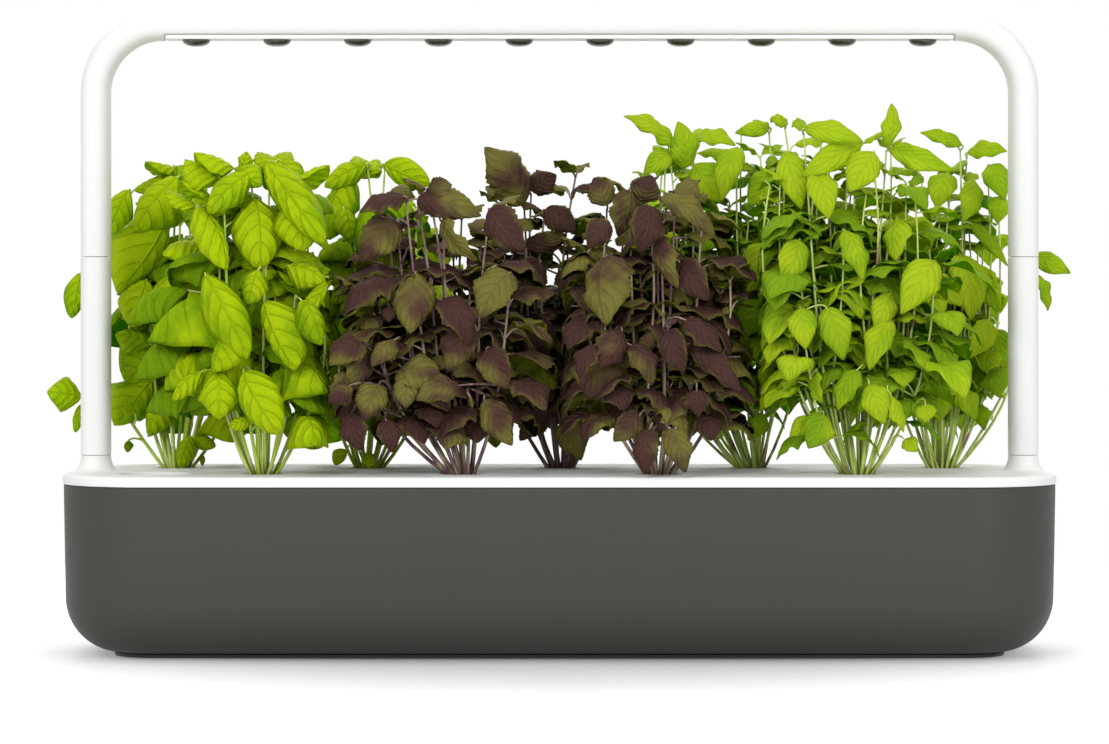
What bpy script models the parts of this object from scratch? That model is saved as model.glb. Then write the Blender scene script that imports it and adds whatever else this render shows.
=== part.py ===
"""Countertop hydroponic garden: a water base, nine plant pods and an arched grow lamp.

The origin is on the table under the middle of the base. +X runs along the base to the
right, +Y to the back and +Z up. All lengths are in metres.
"""

from collections import namedtuple
from math import cos, pi, radians, sin

import bmesh
import bpy
from mathutils import Vector

# Fits that every piece shares
GAP = 0.0003
OVERRUN = 0.002
MERGE = 0.00001
SMOOTH_ANGLE = radians(40)

# Round counts
CORNER_STEPS = 6
FILLET_STEPS = 4
OVAL_STEPS = 16
POD_STEPS = 14
WELL_STEPS = 24
LENS_STEPS = 10
SMALL_STEPS = 12

# Pod grid: five pods in the rear row, four in the front row between them
REAR_PODS = 5
POD_PITCH = 0.1225
ROW_GAP = 0.084
END_MARGIN = 0.063
ROW_MARGIN = 0.0505

# Base
PLAN_CORNER = 0.058
FOOT_DROP = 0.001
FOOT_RADIUS = 0.006
FOOT_SINK = 0.0009
FOOT_INSET = 0.022
FOOT_EDGE = 0.0004
PLATE_THICKNESS = 0.002
PLATE_CORNER = 0.026
PLATE_INSET = 0.032
CASING_HEIGHT = 0.1037
CASING_WALL = 0.003
CASING_STEP = 0.0006
CASING_DRAFT = 0.0012
CASING_FILLET = 0.034
TANK_WALL = 0.002
TANK_BELOW_SKIRT = 0.0015

# Power inlet in the rear wall
INLET_HEIGHT = 0.055
INLET_FLANGE_RADIUS = 0.0065
INLET_FLANGE = 0.0015
INLET_SEAT = 0.0012
INLET_BARREL_RADIUS = 0.0045
INLET_BARREL = 0.0155
INLET_BORE_RADIUS = 0.0031
INLET_BORE_DEPTH = 0.0095
INLET_PIN_RADIUS = 0.001
INLET_PIN_SHORT = 0.001
INLET_ROOM = 0.0018

# Deck
RIM_HEIGHT = 0.0062
RIM_FILLET = 0.0025
DECK_THICKNESS = 0.003
SKIRT_DROP = 0.0115
SKIRT_WALL = 0.002
SKIRT_PLAY = 0.0004
BOSS_HEIGHT = 0.0098
BOSS_FLARE_WIDTH = 0.0055
BOSS_FLARE_DEPTH = 0.0065
BOSS_SINK = 0.0025
SOCKET_WALL = 0.0015
SOCKET_FLOOR = 0.002
SOCKET_DEPTH = 0.0233

# Pods
SEAT_DEPTH = 0.0018
POD_FLANGE = 0.0015
POD_FLANGE_RADIUS = 0.03525
POD_HOLE_RADIUS = 0.013
CUP_TOP_RADIUS = 0.0296
CUP_BOTTOM_RADIUS = 0.0245
CUP_DEPTH = 0.0505
CUP_WALL = 0.0012
WICK_RADIUS = 0.0044
WICK_PLAY = 0.0006
WICK_ABOVE_TANK = 0.0025
SOIL_BELOW_LID = 0.0018

# Filler well with its level float
WELL_X = 0.250
WELL_FLANGE_RADIUS = 0.0275
WELL_RADIUS = 0.024
WELL_WALL = 0.0015
WELL_ABOVE_TANK = 0.0132
WELL_STOP = 0.002
WELL_STOP_RADIUS = 0.010
WELL_RIB = 0.002
WELL_RIBS = 3
WELL_RIB_ROOM = 0.010
FLOAT_RADIUS = 0.0135
FLOAT_HEIGHT = 0.034
FLOAT_BELOW_DECK = 0.0015
FLOAT_EDGE = 0.0015

# Lamp arms and arch
ARM_SPACING = 0.584
ARM_HALF_WIDTH = 0.0093
ARM_HALF_DEPTH = 0.014
ARM_WALL = 0.0018
EXTENSION_LENGTH = 0.1241
LEG_LENGTH = 0.1033
BEND_RADIUS = 0.042
BEND_STEPS = 6
PLUG_REACH = 0.020
PLUG_BORE_RADIUS = 0.0022
CONTACT_THICKNESS = 0.0027
CONTACT_PIN_RADIUS = 0.0015
CONTACT_PIN = 0.005

# Lamp head, hung in the flat under the bar
LAMP_FLAT = 0.0036
FLAT_INSET = 0.002
COVER_THICKNESS = 0.0027
COVER_HALF_DEPTH = 0.0106
COVER_END_GAP = 0.0005
LENSES = 10
LENS_END_MARGIN = 0.0187
LENS_RADIUS = 0.0088
LENS_DROP = 0.0042
LENS_NECK_RADIUS = 0.0075
LENS_NECK = 0.0011
LENS_DOME_STEPS = 2
CHIP_HALF = 0.002
CHIP_THICKNESS = 0.0003
BOARD_THICKNESS = 0.0016
BOARD_HALF_DEPTH = 0.008
SINK_THICKNESS = 0.003
SINK_HALF_DEPTH = 0.0112
SINK_END_GAP = 0.002

# Plants
CROWN_RADIUS = 0.009
CROWN_HEIGHT = 0.004
CROWN_STEPS = 8
STEM_RADIUS = 0.0022
STEM_TIP_RADIUS = 0.0013
STEMS = 4
STEM_SIDES = 3
STEM_BENDS = 3
SWEET_LEAF = 0.086
SWEET_LEAF_WIDTH = 0.064
PURPLE_LEAF = 0.080
PURPLE_LEAF_WIDTH = 0.054
LEMON_LEAF = 0.080
LEMON_LEAF_WIDTH = 0.046
LEAF_THICKNESS = 0.003
LEAF_SINK = 0.0012
PLANT_REACH_BACK = 0.101
PLANT_REACH_SIDE = 0.329
PLANT_NEIGHBOUR_GAP = 0.0013
PLANT_ROW_GAP = 0.004
PLANT_ARM_GAP = 0.0015
PLANT_ABOVE_DECK = 0.003
FRONT_OVERHANG = 0.0305

# Places that follow from the sizes above
HALF_LENGTH = (REAR_PODS - 1) * POD_PITCH / 2 + END_MARGIN
HALF_DEPTH = ROW_GAP / 2 + ROW_MARGIN
PLATE_TOP = FOOT_DROP + PLATE_THICKNESS
CASING_BOTTOM = PLATE_TOP + GAP
CASING_TOP = CASING_BOTTOM + CASING_HEIGHT
RIM_BOTTOM = CASING_TOP + GAP
DECK_TOP = RIM_BOTTOM + RIM_HEIGHT
DECK_UNDER = DECK_TOP - DECK_THICKNESS
SKIRT_BOTTOM = DECK_UNDER - SKIRT_DROP
TANK_TOP = SKIRT_BOTTOM - TANK_BELOW_SKIRT
TANK_FLOOR = CASING_BOTTOM + CASING_WALL + GAP + TANK_WALL
BOSS_TOP = DECK_TOP + BOSS_HEIGHT
EXTENSION_BOTTOM = BOSS_TOP + GAP
EXTENSION_TOP = EXTENSION_BOTTOM + EXTENSION_LENGTH
LEG_BOTTOM = EXTENSION_TOP + GAP
BEND_START = LEG_BOTTOM + LEG_LENGTH
BAR_CENTRE = BEND_START + BEND_RADIUS
ARM_X = ARM_SPACING / 2
FLAT_LEVEL = BAR_CENTRE - ARM_HALF_WIDTH + LAMP_FLAT
FLAT_END = ARM_X - BEND_RADIUS - FLAT_INSET
COVER_TOP = FLAT_LEVEL - GAP
COVER_BOTTOM = COVER_TOP - COVER_THICKNESS
COVER_END = FLAT_END - COVER_END_GAP
LENS_BOTTOM = COVER_BOTTOM - LENS_DROP
NECK_TOP = COVER_TOP + LENS_NECK
CHIP_BOTTOM = NECK_TOP + GAP
BOARD_BOTTOM = CHIP_BOTTOM + CHIP_THICKNESS
SINK_BOTTOM = BOARD_BOTTOM + BOARD_THICKNESS + GAP
CLEAR_HEIGHT = LENS_BOTTOM - DECK_TOP
FLANGE_BOTTOM = DECK_TOP - POD_FLANGE
SEAT_LEVEL = DECK_TOP - SEAT_DEPTH
CUP_BOTTOM = FLANGE_BOTTOM - CUP_DEPTH
SOIL_TOP = DECK_TOP - CUP_WALL - SOIL_BELOW_LID

Habit = namedtuple("Habit", "finish leaf_length leaf_width droop_share spread_share levels_share")
Plant = namedtuple("Plant", "habit top_share turn_share left_share right_share")

HABITS = {
    "sweet": Habit("sweet_leaf", SWEET_LEAF, SWEET_LEAF_WIDTH, 0.95, 0.42, (0.50, 0.74, 0.97)),
    "purple": Habit("purple_leaf", PURPLE_LEAF, PURPLE_LEAF_WIDTH, 0.85, 0.42, (0.48, 0.73, 0.97)),
    "lemon": Habit("lemon_leaf", LEMON_LEAF, LEMON_LEAF_WIDTH, 0.65, 0.44, (0.42, 0.70, 0.97)),
}
# From left to right, so odd ones stand in the rear row. The last two values are how far each
# plant reaches to its left and right, in pod pitches.
PLANTS = (
    Plant("sweet", 0.739, 0.10, 0.500, 0.500),
    Plant("sweet", 0.746, 0.36, 0.500, 0.350),
    Plant("sweet", 0.751, 0.62, 0.500, 0.500),
    Plant("purple", 0.686, 0.18, 0.650, 0.500),
    Plant("purple", 0.768, 0.44, 0.500, 0.325),
    Plant("purple", 0.700, 0.70, 0.500, 0.500),
    Plant("lemon", 0.850, 0.26, 0.675, 0.500),
    Plant("lemon", 0.856, 0.52, 0.500, 0.500),
    Plant("lemon", 0.821, 0.78, 0.500, 0.500),
)
FIRST_ROUND_SHARE = 0.14
STEM_BOW_SHARE = 0.35
SHORT_STEM_SHARE = 0.11
LEAF_STAGGER_SHARE = 0.035
LEAF_PAIR_TURNS = (radians(70), radians(50), radians(60))
DROOP_CHANGE_SHARE = 0.3
LEAF_SHRINK_SHARE = 0.2
LEAF_RIM_SHARES = ((0.28, 0.44), (0.68, 0.38))
LEAF_MIDDLE_SHARE = 0.46
LEAF_DOME_SHARE = 0.15
LEAF_SAG_SHARE = 0.16


def pod_places():
    """(x, y) of each pod from left to right: odd ones in the rear row, even ones in front."""
    first = -(REAR_PODS - 1) * POD_PITCH / 2
    rows = (ROW_GAP / 2, -ROW_GAP / 2)
    return [(first + i * POD_PITCH / 2, rows[i % 2]) for i in range(2 * REAR_PODS - 1)]


def clear_scene():
    """Removes what the opened file holds."""
    for old in list(bpy.data.objects):
        bpy.data.objects.remove(old, do_unlink=True)


def finish(name, colour, roughness, metallic=0.0):
    """A Principled material."""
    made = bpy.data.materials.new(name)
    made.use_nodes = True
    shader = made.node_tree.nodes["Principled BSDF"]
    shader.inputs["Base Color"].default_value = (*colour, 1.0)
    shader.inputs["Roughness"].default_value = roughness
    shader.inputs["Metallic"].default_value = metallic
    return made


def finishes():
    """Every material of the garden by name."""
    return {
        "casing_grey": finish("casing_grey", (0.075, 0.078, 0.075), 0.55),
        "foot_black": finish("foot_black", (0.012, 0.012, 0.012), 0.6),
        "white_plastic": finish("white_plastic", (0.83, 0.83, 0.82), 0.35),
        "tank_plastic": finish("tank_plastic", (0.72, 0.74, 0.75), 0.4),
        "inlet_black": finish("inlet_black", (0.02, 0.02, 0.02), 0.4),
        "contact_brass": finish("contact_brass", (0.72, 0.52, 0.22), 0.3, 1.0),
        "sink_aluminium": finish("sink_aluminium", (0.75, 0.76, 0.77), 0.35, 1.0),
        "board_white": finish("board_white", (0.82, 0.83, 0.80), 0.5),
        "lens_clear": finish("lens_clear", (0.55, 0.56, 0.55), 0.1),
        "soil": finish("soil", (0.045, 0.028, 0.018), 0.95),
        "sweet_leaf": finish("sweet_leaf", (0.22, 0.42, 0.03), 0.4),
        "purple_leaf": finish("purple_leaf", (0.055, 0.022, 0.035), 0.45),
        "lemon_leaf": finish("lemon_leaf", (0.20, 0.38, 0.06), 0.5),
    }


def body(name, parent=None, at=(0, 0, 0)):
    """An empty on the line that a moving body slides along."""
    empty = bpy.data.objects.new(name, None)
    empty.parent = parent
    empty.location = at
    bpy.context.scene.collection.objects.link(empty)
    return empty


def placed(name, mesh, parent=None, at=(0, 0, 0)):
    """An object that shows mesh at a place under its parent."""
    made = bpy.data.objects.new(name, mesh)
    made.parent = parent
    made.location = at
    bpy.context.scene.collection.objects.link(made)
    return made


def mesh_from(name, shape, material=None):
    """A smooth-shaded mesh from a bmesh, which is freed."""
    mesh = bpy.data.meshes.new(name)
    shape.to_mesh(mesh)
    shape.free()
    mesh.materials.append(material)
    mesh.shade_smooth()
    mesh.set_sharp_from_angle(angle=SMOOTH_ANGLE)
    return mesh


def combine(target, operation, name, shape, at=(0, 0, 0), self_union=False):
    """Joins a hidden shape to target, or cuts it away."""
    other = placed(name, mesh_from(name, shape), target.parent, at)
    other.hide_render = True
    other.display_type = "WIRE"
    modifier = target.modifiers.new(name, "BOOLEAN")
    modifier.operation = operation
    modifier.solver = "EXACT"
    modifier.use_self = self_union
    modifier.object = other


def loft(rings, looped=False):
    """A closed skin through rings of equal counts, capped at its ends or led back to its start."""
    shape = bmesh.new()
    rows = [[shape.verts.new(point) for point in ring] for ring in rings]
    pairs = list(zip(rows, rows[1:]))
    if looped:
        pairs.append((rows[-1], rows[0]))
    else:
        shape.faces.new(list(reversed(rows[0])))
        shape.faces.new(rows[-1])
    count = len(rows[0])
    for lower, upper in pairs:
        for i in range(count):
            j = (i + 1) % count
            shape.faces.new((lower[i], lower[j], upper[j], upper[i]))
    bmesh.ops.recalc_face_normals(shape, faces=shape.faces)
    return shape


def turned(profile, steps):
    """A solid of revolution about Z from a closed outline of (radius, height) points."""
    shape = bmesh.new()
    points = [shape.verts.new((radius, 0, height)) for radius, height in profile]
    edges = []
    for i, point in enumerate(points):
        following = points[(i + 1) % len(points)]
        if point.co.x > 0 or following.co.x > 0:
            edges.append(shape.edges.new((point, following)))
    bmesh.ops.spin(
        shape, geom=points + edges, cent=(0, 0, 0), axis=(0, 0, 1), angle=2 * pi, steps=steps
    )
    bmesh.ops.remove_doubles(shape, verts=shape.verts, dist=MERGE)
    bmesh.ops.recalc_face_normals(shape, faces=shape.faces)
    return shape


def gathered(shapes):
    """Several shapes in one mesh, each moved to its place."""
    whole = bmesh.new()
    for shape, at in shapes:
        bmesh.ops.translate(shape, verts=shape.verts, vec=at)
        step = bpy.data.meshes.new("step")
        shape.to_mesh(step)
        shape.free()
        whole.from_mesh(step)
        bpy.data.meshes.remove(step)
    return whole


def rounded_ring(inset, height, corner=PLAN_CORNER):
    """The base's outline drawn in by inset: a rectangle with round corners."""
    radius = corner - inset
    points = []
    for quarter in range(4):
        right = 1 if quarter in (0, 3) else -1
        back = 1 if quarter in (0, 1) else -1
        for step in range(CORNER_STEPS + 1):
            angle = (quarter + step / CORNER_STEPS) * pi / 2
            x = right * (HALF_LENGTH - corner) + radius * cos(angle)
            y = back * (HALF_DEPTH - corner) + radius * sin(angle)
            points.append((x, y, height))
    return points


def oval_ring(half_width, half_depth, height):
    """An oval ring about the Z axis."""
    turns = [2 * pi * i / OVAL_STEPS for i in range(OVAL_STEPS)]
    return [(half_width * cos(turn), half_depth * sin(turn), height) for turn in turns]


def block(low, high):
    """A box between two corners."""
    corners = ((low[0], low[1]), (high[0], low[1]), (high[0], high[1]), (low[0], high[1]))
    return loft([[(x, y, z) for x, y in corners] for z in (low[2], high[2])])


def bowl_rings(inset, top, bottom, fillet):
    """Rings of a drafted wall from its rounded foot up to its top."""
    foot_inset = inset + CASING_DRAFT
    rings = []
    for step in range(FILLET_STEPS + 1):
        angle = pi / 2 * (1 - step / FILLET_STEPS)
        rings.append(
            rounded_ring(foot_inset + fillet * (1 - cos(angle)), bottom + fillet * (1 - sin(angle)))
        )
    rings.append(rounded_ring(inset, top))
    return rings


def vessel(inset, top, bottom, fillet, wall):
    """An open-topped vessel with a drafted wall and a round foot."""
    outside = bowl_rings(inset, top, bottom, fillet)
    inside = bowl_rings(inset + wall, top, bottom + wall, fillet - wall)
    return loft(outside + inside[::-1])


def wall_inset(height):
    """How far the casing's outer wall stands in from the rim at a height."""
    foot = CASING_BOTTOM + CASING_FILLET
    return CASING_STEP + CASING_DRAFT * (CASING_TOP - height) / (CASING_TOP - foot)


def along_y(profile, steps):
    """A turned shape whose axis is laid along +Y."""
    shape = turned(profile, steps)
    for vert in shape.verts:
        vert.co = Vector((vert.co.x, vert.co.z, -vert.co.y))
    return shape


def make_base(root, looks):
    """Feet, base plate, casing and tank."""
    plate_x = HALF_LENGTH - PLATE_INSET
    plate_y = HALF_DEPTH - PLATE_INSET
    inset = PLATE_INSET
    corner = PLATE_CORNER + PLATE_INSET
    plate_shape = loft(
        [rounded_ring(inset, FOOT_DROP, corner), rounded_ring(inset, PLATE_TOP, corner)]
    )
    plate = placed("base_plate", mesh_from("base_plate", plate_shape, looks["foot_black"]), root)
    foot_top = FOOT_DROP + FOOT_SINK
    foot_mesh = mesh_from(
        "foot",
        turned(
            [
                (0, 0),
                (FOOT_RADIUS - FOOT_EDGE, 0),
                (FOOT_RADIUS, FOOT_EDGE),
                (FOOT_RADIUS, foot_top),
                (0, foot_top),
            ],
            SMALL_STEPS,
        ),
        looks["foot_black"],
    )
    pockets = []
    for side_x, word_x in ((-1, "left"), (1, "right")):
        for side_y, word_y in ((-1, "front"), (1, "rear")):
            at = (side_x * (plate_x - FOOT_INSET), side_y * (plate_y - FOOT_INSET), 0)
            placed(f"foot_{word_y}_{word_x}", foot_mesh, root, at)
            pocket = turned(
                [
                    (0, -OVERRUN),
                    (FOOT_RADIUS + GAP, -OVERRUN),
                    (FOOT_RADIUS + GAP, foot_top + GAP),
                    (0, foot_top + GAP),
                ],
                SMALL_STEPS,
            )
            pockets.append((pocket, at))
    combine(plate, "DIFFERENCE", "foot_pockets", gathered(pockets))

    casing_shape = vessel(CASING_STEP, CASING_TOP, CASING_BOTTOM, CASING_FILLET, CASING_WALL)
    casing_mesh = mesh_from("outer_casing", casing_shape, looks["casing_grey"])
    casing = placed("outer_casing", casing_mesh, root)
    tank_inset = CASING_STEP + CASING_WALL + GAP
    tank_shape = vessel(
        tank_inset,
        TANK_TOP,
        CASING_BOTTOM + CASING_WALL + GAP,
        CASING_FILLET - CASING_WALL - GAP,
        TANK_WALL,
    )
    tank = placed("water_tank", mesh_from("water_tank", tank_shape, looks["tank_plastic"]), root)
    make_inlet(root, looks, casing, tank)


def make_inlet(root, looks, casing, tank):
    """The low-voltage inlet in the rear wall, with its seat in the casing and its niche in the tank."""
    x = 3 * POD_PITCH / 2
    wall_y = HALF_DEPTH - wall_inset(INLET_HEIGHT)
    seat_y = wall_y - INLET_SEAT
    face = seat_y + GAP + INLET_FLANGE
    flange_back = seat_y + GAP
    end = face - INLET_BARREL
    bore_end = face - INLET_BORE_DEPTH
    pin_tip = face - INLET_PIN_SHORT
    at = (x, 0, INLET_HEIGHT)
    inlet_shape = along_y(
        [
            (0, end),
            (INLET_BARREL_RADIUS, end),
            (INLET_BARREL_RADIUS, flange_back),
            (INLET_FLANGE_RADIUS, flange_back),
            (INLET_FLANGE_RADIUS, face),
            (INLET_BORE_RADIUS, face),
            (INLET_BORE_RADIUS, bore_end),
            (INLET_PIN_RADIUS, bore_end),
            (INLET_PIN_RADIUS, pin_tip),
            (0, pin_tip),
        ],
        SMALL_STEPS,
    )
    placed("power_inlet", mesh_from("power_inlet", inlet_shape, looks["inlet_black"]), root, at)
    seat = along_y(
        [
            (0, wall_y - CASING_WALL - OVERRUN),
            (INLET_BARREL_RADIUS + GAP, wall_y - CASING_WALL - OVERRUN),
            (INLET_BARREL_RADIUS + GAP, seat_y),
            (INLET_FLANGE_RADIUS + GAP, seat_y),
            (INLET_FLANGE_RADIUS + GAP, wall_y + OVERRUN),
            (0, wall_y + OVERRUN),
        ],
        SMALL_STEPS,
    )
    combine(casing, "DIFFERENCE", "inlet_seat", seat, at)
    room = INLET_BARREL_RADIUS + INLET_ROOM
    niche_wall = room + TANK_WALL
    niche_y = end - INLET_ROOM
    tank_y = wall_y - CASING_WALL - GAP
    filled = block(
        (x - niche_wall, niche_y - TANK_WALL, INLET_HEIGHT - niche_wall),
        (x + niche_wall, tank_y - TANK_WALL / 2, INLET_HEIGHT + niche_wall),
    )
    combine(tank, "UNION", "niche_wall", filled)
    hollow = block(
        (x - room, niche_y, INLET_HEIGHT - room), (x + room, tank_y + OVERRUN, INLET_HEIGHT + room)
    )
    combine(tank, "DIFFERENCE", "niche", hollow)


def make_deck(deck, looks):
    """The white deck that lifts off with the pods, with its two arm sockets."""
    skirt_outside = CASING_STEP + CASING_WALL + SKIRT_PLAY
    skirt_inside = skirt_outside + SKIRT_WALL
    rings = [
        rounded_ring(skirt_inside, DECK_UNDER),
        rounded_ring(skirt_inside, SKIRT_BOTTOM),
        rounded_ring(skirt_outside, SKIRT_BOTTOM),
        rounded_ring(skirt_outside, RIM_BOTTOM),
        rounded_ring(0, RIM_BOTTOM),
    ]
    for step in range(FILLET_STEPS):
        angle = pi / 2 * step / (FILLET_STEPS - 1)
        inset = RIM_FILLET * (1 - cos(angle))
        rings.append(rounded_ring(inset, DECK_TOP - RIM_FILLET * (1 - sin(angle))))
    plate = placed("grow_deck", mesh_from("grow_deck", loft(rings), looks["white_plastic"]), deck)

    sides = ((-ARM_X, 0, 0), (ARM_X, 0, 0))
    combine(plate, "UNION", "arm_bosses", gathered([(boss_shape(), at) for at in sides]))
    seats = [(pod_seat(), (x, y, 0)) for x, y in pod_places()]
    seats.append((well_seat(), (-WELL_X, -ROW_GAP / 2, 0)))
    combine(plate, "DIFFERENCE", "seats", gathered(seats))
    bore_width = ARM_HALF_WIDTH - ARM_WALL
    bore_depth = ARM_HALF_DEPTH - ARM_WALL
    bore_bottom = BOSS_TOP - SOCKET_DEPTH
    bores = []
    for at in sides:
        rings = [
            oval_ring(bore_width, bore_depth, bore_bottom),
            oval_ring(bore_width, bore_depth, BOSS_TOP + OVERRUN),
        ]
        bores.append((loft(rings), at))
    combine(plate, "DIFFERENCE", "arm_bores", gathered(bores))


def boss_shape():
    """A socket below the deck that flares up into the round foot of an arm."""
    socket_bottom = BOSS_TOP - SOCKET_DEPTH - SOCKET_FLOOR
    socket_width = ARM_HALF_WIDTH + SOCKET_WALL
    socket_depth = ARM_HALF_DEPTH + SOCKET_WALL
    shoulder = DECK_TOP - BOSS_SINK
    rings = [
        oval_ring(socket_width, socket_depth, socket_bottom),
        oval_ring(socket_width, socket_depth, shoulder),
    ]
    rings.append(
        oval_ring(ARM_HALF_WIDTH + BOSS_FLARE_WIDTH, ARM_HALF_DEPTH + BOSS_FLARE_DEPTH, shoulder)
    )
    for step in range(FILLET_STEPS + 1):
        angle = pi / 2 * step / FILLET_STEPS
        outward = 1 - sin(angle)
        rings.append(
            oval_ring(
                ARM_HALF_WIDTH + BOSS_FLARE_WIDTH * outward,
                ARM_HALF_DEPTH + BOSS_FLARE_DEPTH * outward,
                DECK_TOP + BOSS_HEIGHT * (1 - cos(angle)),
            )
        )
    return loft(rings)


def seat_cutter(hole_radius, flange_radius, steps):
    """A stepped round cutter: a through hole with a shallow seat round it."""
    return turned(
        [
            (0, DECK_UNDER - OVERRUN),
            (hole_radius, DECK_UNDER - OVERRUN),
            (hole_radius, SEAT_LEVEL),
            (flange_radius, SEAT_LEVEL),
            (flange_radius, DECK_TOP + OVERRUN),
            (0, DECK_TOP + OVERRUN),
        ],
        steps,
    )


def pod_seat():
    """The cutter for a pod's seat."""
    return seat_cutter(CUP_TOP_RADIUS + GAP, POD_FLANGE_RADIUS + GAP, POD_STEPS)


def well_seat():
    """The cutter for the filler well's seat."""
    return seat_cutter(WELL_RADIUS + GAP, WELL_FLANGE_RADIUS + GAP, WELL_STEPS)


def make_well(deck, looks):
    """The filler well and the float that rises in it."""
    at = (-WELL_X, -ROW_GAP / 2, 0)
    bottom = TANK_FLOOR + WELL_ABOVE_TANK
    stop_top = bottom + WELL_STOP
    inner = WELL_RADIUS - WELL_WALL
    guide_shape = turned(
        [
            (WELL_STOP_RADIUS, bottom),
            (WELL_RADIUS, bottom),
            (WELL_RADIUS, FLANGE_BOTTOM),
            (WELL_FLANGE_RADIUS, FLANGE_BOTTOM),
            (WELL_FLANGE_RADIUS, DECK_TOP),
            (inner, DECK_TOP),
            (inner, stop_top),
            (WELL_STOP_RADIUS, stop_top),
        ],
        WELL_STEPS,
    )
    guide_mesh = mesh_from("float_guide", guide_shape, looks["white_plastic"])
    guide = placed("float_guide", guide_mesh, deck, at)
    ribs = []
    for i in range(WELL_RIBS):
        rib = block(
            (FLOAT_RADIUS + GAP, -WELL_RIB / 2, bottom + WELL_STOP / 2),
            (WELL_RADIUS - WELL_WALL / 2, WELL_RIB / 2, DECK_TOP - WELL_RIB_ROOM),
        )
        turn = 2 * pi * (i + FIRST_ROUND_SHARE) / WELL_RIBS
        for vert in rib.verts:
            x, y, z = vert.co
            vert.co = Vector((x * cos(turn) - y * sin(turn), x * sin(turn) + y * cos(turn), z))
        ribs.append((rib, (0, 0, 0)))
    combine(guide, "UNION", "float_ribs", gathered(ribs), at)

    float_slide = body("float_slide", deck, at)
    top = DECK_TOP - FLOAT_BELOW_DECK
    low = top - FLOAT_HEIGHT
    float_shape = turned(
        [
            (0, low),
            (FLOAT_RADIUS - FLOAT_EDGE, low),
            (FLOAT_RADIUS, low + FLOAT_EDGE),
            (FLOAT_RADIUS, top - FLOAT_EDGE),
            (FLOAT_RADIUS - FLOAT_EDGE, top),
            (0, top),
        ],
        WELL_STEPS,
    )
    placed("level_float", mesh_from("level_float", float_shape, looks["white_plastic"]), float_slide)


def make_arms(deck, looks):
    """The contact blocks, the two extensions with their plugs, and the empties that lift them."""
    contact_bottom = BOSS_TOP - SOCKET_DEPTH + GAP
    contact_top = contact_bottom + CONTACT_THICKNESS
    plug_width = ARM_HALF_WIDTH - ARM_WALL - GAP
    plug_depth = ARM_HALF_DEPTH - ARM_WALL - GAP
    contact_rings = [
        oval_ring(plug_width, plug_depth, contact_bottom),
        oval_ring(plug_width, plug_depth, contact_top),
        oval_ring(CONTACT_PIN_RADIUS, CONTACT_PIN_RADIUS, contact_top),
        oval_ring(CONTACT_PIN_RADIUS, CONTACT_PIN_RADIUS, contact_top + CONTACT_PIN),
    ]
    contact_mesh = mesh_from("contact_block", loft(contact_rings), looks["contact_brass"])
    tube_mesh = mesh_from(
        "arm_extension", tube_shape(EXTENSION_BOTTOM, EXTENSION_TOP), looks["white_plastic"]
    )
    plug_top = EXTENSION_BOTTOM + PLUG_REACH
    plug_mesh = mesh_from("arm_plug", plug_shape(contact_top + GAP, plug_top), looks["inlet_black"])
    arms = {}
    for side, word in ((-1, "left"), (1, "right")):
        at = (side * ARM_X, 0, 0)
        placed(f"contact_block_{word}", contact_mesh, deck, at)
        arms[word] = body(f"arm_{word}_lift", deck, at)
        placed(f"arm_extension_{word}", tube_mesh, arms[word])
        placed(f"arm_plug_{word}", plug_mesh, arms[word])
    return arms


def tube_shape(low, high):
    """A length of oval tube."""
    inner_width = ARM_HALF_WIDTH - ARM_WALL
    inner_depth = ARM_HALF_DEPTH - ARM_WALL
    rings = [
        oval_ring(ARM_HALF_WIDTH, ARM_HALF_DEPTH, low),
        oval_ring(ARM_HALF_WIDTH, ARM_HALF_DEPTH, high),
        oval_ring(inner_width, inner_depth, high),
        oval_ring(inner_width, inner_depth, low),
    ]
    return loft(rings, looped=True)


def plug_shape(low, high):
    """An oval plug with a hole for the wires down its middle."""
    width = ARM_HALF_WIDTH - ARM_WALL - GAP
    depth = ARM_HALF_DEPTH - ARM_WALL - GAP
    rings = [
        oval_ring(width, depth, low),
        oval_ring(width, depth, high),
        oval_ring(PLUG_BORE_RADIUS, PLUG_BORE_RADIUS, high),
        oval_ring(PLUG_BORE_RADIUS, PLUG_BORE_RADIUS, low),
    ]
    return loft(rings, looped=True)


def arch_frames():
    """(x, z, angle) down the arch's centreline, where angle is the heading from straight up."""
    frames = [(-ARM_X, LEG_BOTTOM, 0)]
    for step in range(BEND_STEPS + 1):
        angle = pi / 2 * step / BEND_STEPS
        x = -ARM_X + BEND_RADIUS * (1 - cos(angle))
        frames.append((x, BEND_START + BEND_RADIUS * sin(angle), angle))
    return frames + [(-x, z, pi - angle) for x, z, angle in reversed(frames)]


def arch_rings(half_width, half_depth):
    """Oval rings square to the arch's centreline."""
    rings = []
    for x, z, angle in arch_frames():
        ring = []
        for across, y, _ in oval_ring(half_width, half_depth, 0):
            ring.append((x + across * cos(angle), y, z - across * sin(angle)))
        rings.append(ring)
    return rings


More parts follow.
